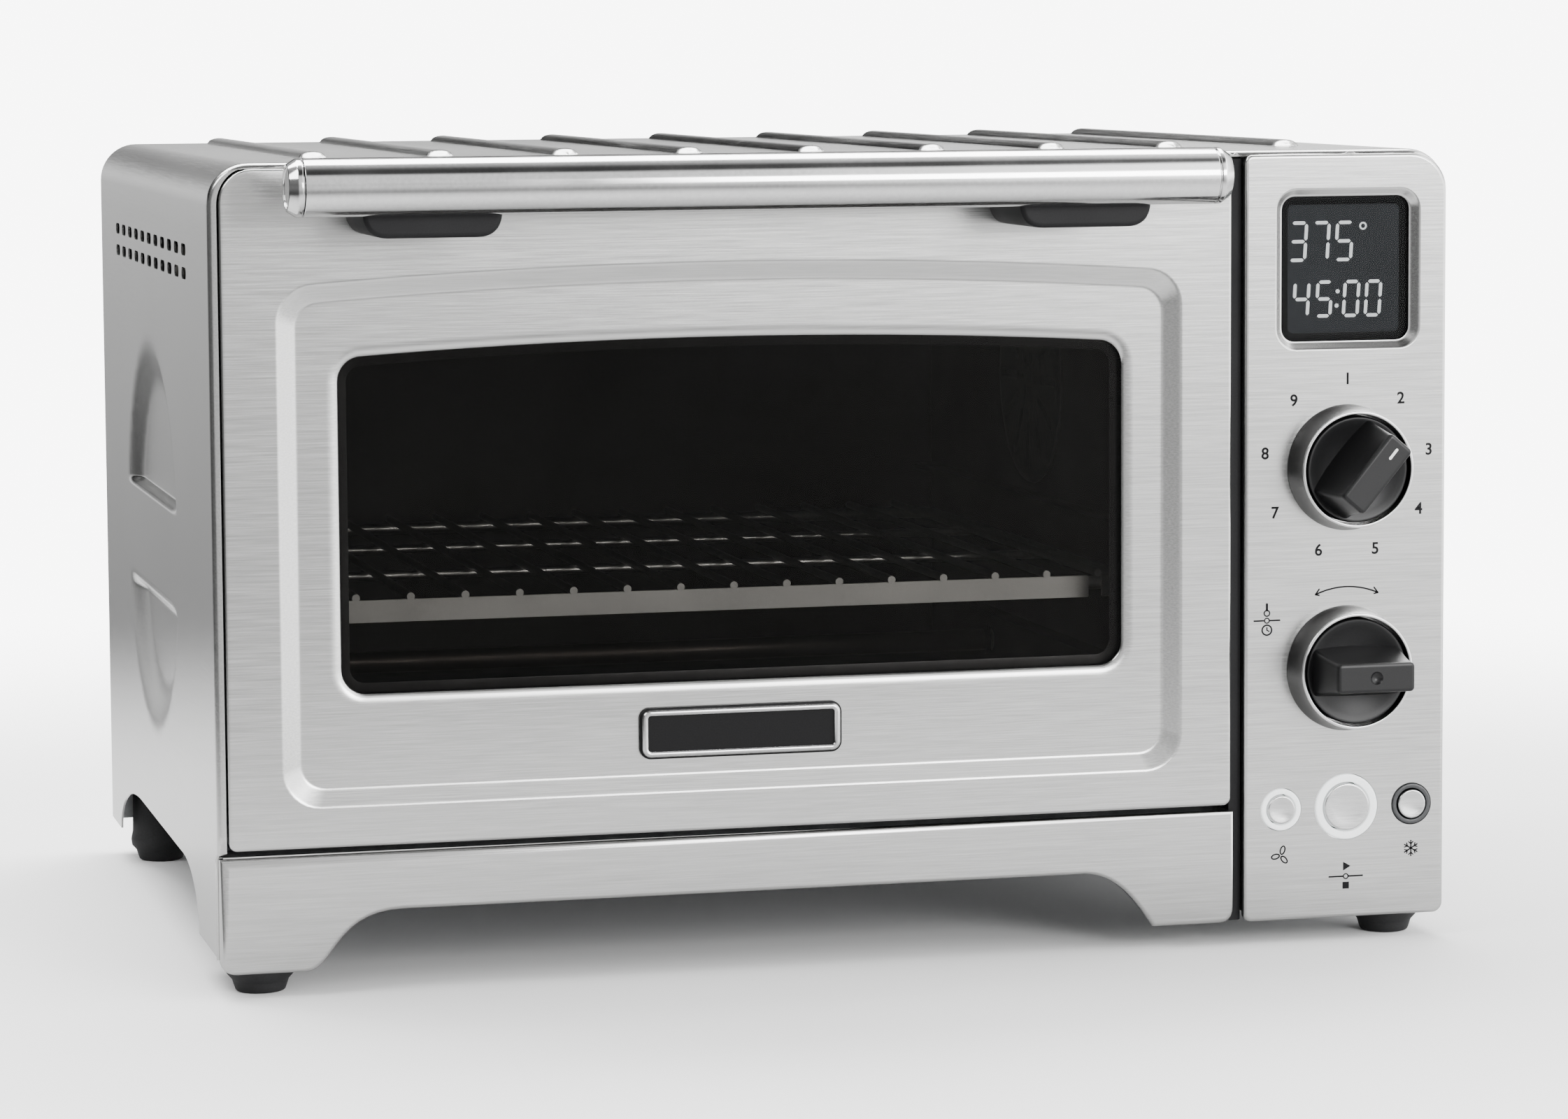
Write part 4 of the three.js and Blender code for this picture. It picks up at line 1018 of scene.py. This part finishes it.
def ring_stroke(x, z, radius, wide=0.6, first=0, last=360, pieces=24):
    """Outlines of a thin arc."""
    near, far = [arc((x, z), r, r, first, last, pieces) for r in (radius - wide / 2, radius + wide / 2)]
    return [[near[i], near[i + 1], far[i + 1], far[i]] for i in range(pieces)]


def over_under(x, z, half):
    """A rule broken by a small circle, set between an upper and a lower sign."""
    return (stroke([(x - half, z), (x - 1, z)]) + stroke([(x + 1, z), (x + half, z)])
            + ring_stroke(x, z, 0.95, 0.45, pieces=14))


knob_z, arrow_radius, arrow_half = knob_heights["lower"], 31.0, 24
signs = ring_stroke(knob_x, knob_z, arrow_radius, 0.6, 90 - arrow_half, 90 + arrow_half, 22)
for side in (-1, 1):
    a = math.radians(90 + side * arrow_half)
    tip = (knob_x + arrow_radius * math.cos(a), knob_z + arrow_radius * math.sin(a))
    for reach in (-1, 1):
        signs += stroke([tip, (tip[0] + side * 1.6, tip[1] + 0.9 + reach * 1.2)], 0.55)
x, z = 163.4, 123.6  # thermometer over clock
signs += over_under(x, z, 5.2)
signs += ring_stroke(x, z + 2.8, 1.1, 0.5) + stroke([(x, z + 3.8), (x, z + 6.4)], 0.9)
signs += ring_stroke(x, z - 3.6, 1.9) + stroke([(x, z - 2.5), (x, z - 3.6), (x + 0.9, z - 4.1)], 0.45)
x, z = buttons["middle"][0], 24.4  # start over stop
signs += over_under(x, z, 6.8)
signs += [[(x - 1.1, z + 2.2), (x + 1.9, z + 3.9), (x - 1.1, z + 5.6)],
          [(x - 1.3, z - 4.8), (x + 1.3, z - 4.8), (x + 1.3, z - 2.2), (x - 1.3, z - 2.2)]]
marks = prism(signs, "y", ink_front, ink_back)
x, z = buttons["left"][0], 33.6  # fan
petal = [(x + 0.75 + 0.8 * u + 0.55 * v, z + 2 - 0.4 * u + 1.5 * v)
         for u, v in disc_outline(0, 0, 1, 18)]
petal_line = prism(stroke(petal + petal[:1], 0.5), "y", ink_front, ink_back)
marks.from_mesh(copies(petal_line, ink, 3, turn=(0, 120, 0), centre=(x, 0, z)))
x, z = buttons["right"][0], 34.0  # frost
arm = (stroke([(x, z), (x, z + 3)], 0.5)
       + stroke([(x - 0.9, z + 2.5), (x, z + 1.6), (x + 0.9, z + 2.5)], 0.42))
marks.from_mesh(copies(prism(arm, "y", ink_front, ink_back), ink, 6, turn=(0, 60, 0),
                       centre=(x, 0, z)))
numbers, number_radius, number_depth = 9, 33.4, 0.12
for place in range(numbers):
    text = bpy.data.curves.new("number", "FONT")
    text.body, text.size, text.offset = str(place + 1), 6.2 * MM, 0.12 * MM
    text.align_x, text.align_y, text.extrude = "CENTER", "CENTER", number_depth * MM
    letter = placed("number", text)
    a = math.radians(90 - 360 / numbers * place)
    spot = Vector((knob_x + number_radius * math.cos(a), ink_front + number_depth,
                   upper[2] + number_radius * math.sin(a)))
    letter.matrix_world = Matrix.Translation(spot * MM) @ Matrix.Rotation(math.pi / 2, 4, "X")
    bpy.context.view_layer.update()
    drawn = evaluated(letter)
    drawn.transform(letter.matrix_world)
    marks.from_mesh(drawn)
    bpy.data.objects.remove(letter)
settle("panel_marks", marks, ink, "cabinet")


# ---------------- wire rack
# Straight plated wires welded over a closed frame and two cross rods, with a flat rail in front.
def swept(path, radius, sides=10, closed=False):
    """A round wire along a path of points, in millimetres."""
    path = [Vector(p) for p in path]
    count = len(path)
    rings = []
    normal = Vector((0.123, 0.456, 0.789))
    for i, point in enumerate(path):
        if closed:
            along = path[(i + 1) % count] - path[i - 1]
        else:
            along = path[min(i + 1, count - 1)] - path[max(i - 1, 0)]
        along.normalize()
        normal = (normal - along * normal.dot(along)).normalized()
        side = along.cross(normal)
        rings.append([point + (normal * u + side * v) * radius
                      for u, v in disc_outline(0, 0, 1, sides)])
    return skin(rings, loop=closed)


rack_low, rack_high = millimetres("wire_rack")
rack_plate = polished("plated rack wire", 0xDEDEDE, (0.28, 0.36))
rod, wire, rack_z, rack_front, rack_back = 2.5, 1.5, 137.0, -116.0, 168.0
rack_left, rack_right = rack_low[0] + rod, rack_high[0] - rod
loop = eased([(rack_left, rack_front, 9), (rack_right, rack_front, 9), (rack_right, rack_back, 12),
              (rack_left, rack_back, 12)], 6)
cross_rods = [swept([(rack_left, y, rack_z + 1), (rack_right, y, rack_z + 1)], 1.8, 10)
              for y in (rack_front + 95, rack_front + 190)]
rack = gathered(swept([(x, y, rack_z) for x, y in loop], rod, 12, closed=True), *cross_rods)
wire_x, wire_z, wire_pitch, wire_count = -179.7, 141.2, 20.3, 15
straight = [(wire_x, y, wire_z) for y in (rack_back + 1, 40, rack_front - 4.6)]
rack.from_mesh(copies(swept(straight, wire, 12), rack_plate, wire_count, pitch=(wire_pitch, 0, 0)))
rail_y = rack_front - rod - 1.4
rail_spans = ((-183, 101), (106.4, rack_high[0]), (rack_low[0], -188.4))
rack = gathered(rack, *[block(x0, x1, rail_y, rail_y + 1.5, 132.0, 140.2, 0.7)
                        for x0, x1 in rail_spans])
settle("rack_grid", rack, rack_plate, "rack", ["wire_rack"])


# ---------------- oven cavity
# Four sheathed heaters on ceramic ends and a punched fan cover, inside the liner: a dark grey
# coating made darker still as painted shade for the dim cavity.
# Partly painted shade: the liner's dark grey coating, and the heater collars that share it, are made
# near black so that the cavity looks dark behind the glass.
liner_coat_and_cavity_shade = coated("dark oven coating and painted cavity shade", 0x1B1C1C, 0x252626, 2.2, (0.42, 0.58), 0.02)
sheath = coated("heater sheath", 0x5A5552, 0x6C6763, 1.4, (0.35, 0.5), 0.01, Metallic=1.0)
ceramic = coated("ceramic ends", 0xD8D4C8, 0xE4E0D6, 1.0, (0.5, 0.65), 0.01)
end_long, collar_long, rod_inset = 11.8, 2.2, 14
for row in ("upper", "lower"):
    for spot in ("front", "rear"):
        low, high = millimetres(f"heater_{row}_{spot}")
        rod_left, rod_right = low[0] + rod_inset, high[0] - rod_inset
        axle = (0, *middle(f"heater_{row}_{spot}")[1:])
        settle(f"heater_rod_{row}_{spot}", rod_of(4.5, rod_left, rod_right, axle, "x", 28),
               sheath, "cabinet", [f"heater_{row}_{spot}"])
        ends = [turned([(0, a), (7, a, 1), (7, a + end_long, 1), (0, a + end_long)], axle, "x", 28)
                for a in (low[0] + 0.1, high[0] - 0.1 - end_long)]
        collars = [turned([(4.7, a), (6.2, a), (6.2, a + collar_long, 0.6), (4.7, a + collar_long)],
                          axle, "x", 28)
                   for a in (rod_left + 0.5, rod_right - 0.5 - collar_long)]
        settle(f"heater_ends_{row}_{spot}", gathered(*ends), ceramic, "cabinet")
        settle(f"heater_collars_{row}_{spot}", gathered(*collars), liner_coat_and_cavity_shade, "cabinet")
low, high = millimetres("fan_cover")
fan = (0, *middle("fan_cover")[1:])
cuts = []
for out, long, wide, count in ((26, 22, 3.6, 12), (8.5, 7, 3, 6)):
    one = prism([slot_outline(fan[1] + out, fan[2], long, wide)], "x", low[0] - 3, high[0] + 3)
    cuts.append(bmesh.new())
    cuts[-1].from_mesh(copies(one, inner_steel, count, turn=(360 / count, 0, 0), centre=fan))
cover = turned([(0, low[0]), (40, low[0], 2), (41.5, high[0] - 0.7, 0.6), (43, high[0] - 0.7),
                (43, high[0]), (0, high[0])], fan, "x", 72)
settle("fan_guard", carve(cover, *cuts), inner_steel, "cabinet", ["fan_cover"])


# ---------------- back and underside
# Plain aluminised back with louvre slots, four screws, a cord gland and a spacer that keeps the
# oven off the wall; four rubber feet.
back_low, back_high = millimetres("back_panel")
zinc = coated("aluminised back", 0x9A9C9D, 0xAFB1B2, 5.0, (0.34, 0.44), 0.012, Metallic=1.0)
back_outline = ring_of((back_low[0], back_high[0], back_low[2], back_high[2], (2, 2, 14, 14), 0.0),
                       0, 8, 2)
back_plate = prism([back_outline], "y", back_low[1], back_high[1])
through = ("y", back_low[1] - 2, back_high[1] + 2)
arch = eased([(-176, back_low[2] - 5), (176, back_low[2] - 5), (162, 30.3, 16), (-162, 30.3, 16)], 8)
back_cuts = prism([arch, disc_outline(198, 62, 8.4, 32)], *through)
louvre_x, louvre_long, louvre_high, louvre_pitch = -177, 26, 4, 38
for z in (110, 122, 134):
    louvre = prism([slot_outline(louvre_x, z, louvre_long, louvre_high)], *through)
    back_cuts.from_mesh(copies(louvre, zinc, 8, pitch=(louvre_pitch, 0, 0)))
settle("back_plate", carve(back_plate, back_cuts), zinc, "cabinet",
       ["back_panel"])
screw_steel = polished("screw heads", 0xB4B4B4, (0.22, 0.32))
for word in ("low_left", "low_right", "top_left", "top_right"):
    low, high = millimetres(f"back_screw_{word}")
    x, _, z = middle(f"back_screw_{word}")
    y = high[1]
    dome = turned([(0, low[1]), (3.6, low[1]), (3.6, y - 0.9, 0.6), (2.2, y, 0.6), (0, y)],
                  (x, 0, z), "y", 28)
    cross = (block(x - 1.9, x + 1.9, y - 1.0, y + 1, z - 0.35, z + 0.35),
             block(x - 0.35, x + 0.35, y - 1.1, y + 1, z - 1.9, z + 1.9))
    settle(f"screw_{word}", carve(dome, *cross), screw_steel, "cabinet",
           [f"back_screw_{word}"])
low, high = millimetres("rear_spacer")
settle("wall_spacer", block(low[0], high[0], low[1], high[1], low[2], high[2], 4), moulded,
       "cabinet", ["rear_spacer"])
low, high = millimetres("cord_gland")
x, _, z = middle("cord_gland")
bush = [(3.8, low[1]), (8, low[1], 0.4), (8, back_high[1] + 0.3), (11, back_high[1] + 0.3, 0.3),
        (11, back_high[1] + 4.3, 1.2), (8.6, back_high[1] + 5.4, 1), (6.5, high[1], 0.8),
        (3.8, high[1], 0.6)]
settle("cord_bush", turned(bush, (x, 0, z), "y", 40), moulded, "cabinet",
       ["cord_gland"])
foot_rubber = coated("foot rubber", 0x0E0E0F, 0x18181A, 0.8, (0.6, 0.78), 0.02)
for word in ("front_left", "front_right", "rear_left", "rear_right"):
    top = millimetres(f"foot_{word}")[1][2]
    pad = [(0, 0.6), (5, 0.6, 0.3), (5.4, 0), (9, 0, 0.8), (9.9, 2.6, 0.6), (10.4, 4.2), (12.2, 6.2),
           (12.5, 8.8, 0.8), (11.8, 12), (11.2, top, 0.6), (0, top)]
    centre = (*middle(f"foot_{word}")[:2], 0)
    settle(f"rubber_foot_{word}", turned(pad, centre, "z", 44), foot_rubber, "cabinet",
           [f"foot_{word}"])


# ---------------- parts kept from the CAD model
# Mostly hidden parts whose CAD shapes serve as they are; they only get finishes of their own.
board_green = coated("circuit board", 0x17442B, 0x1F5536, 1.2, (0.3, 0.45), 0.01)
hidden_metal = coated("stamped steel", 0x8E9091, 0xA5A7A8, 1.8, (0.3, 0.42), 0.012, Metallic=1.0)
matt_black = coated("motor and switch black", 0x151516, 0x202022, 0.9, (0.45, 0.6), 0.01)
finishes = {
    inner_steel: ("front_frame", "fan_housing", "fan_wheel", "floor_pan", "crumb_tray"),
    liner_coat_and_cavity_shade: ("cavity_liner",),
    hidden_metal: ("thermostat_probe", "hinge_bracket_left", "hinge_bracket_right",
                   "hinge_arm_left", "hinge_arm_right"),
    matt_black: ("fan_motor", "display_module", "encoder_upper", "encoder_lower"),
    board_green: ("control_board", "power_board"),
}
for coat, nodes in finishes.items():
    for node in nodes:
        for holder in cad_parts[node].material_slots:
            holder.material = coat
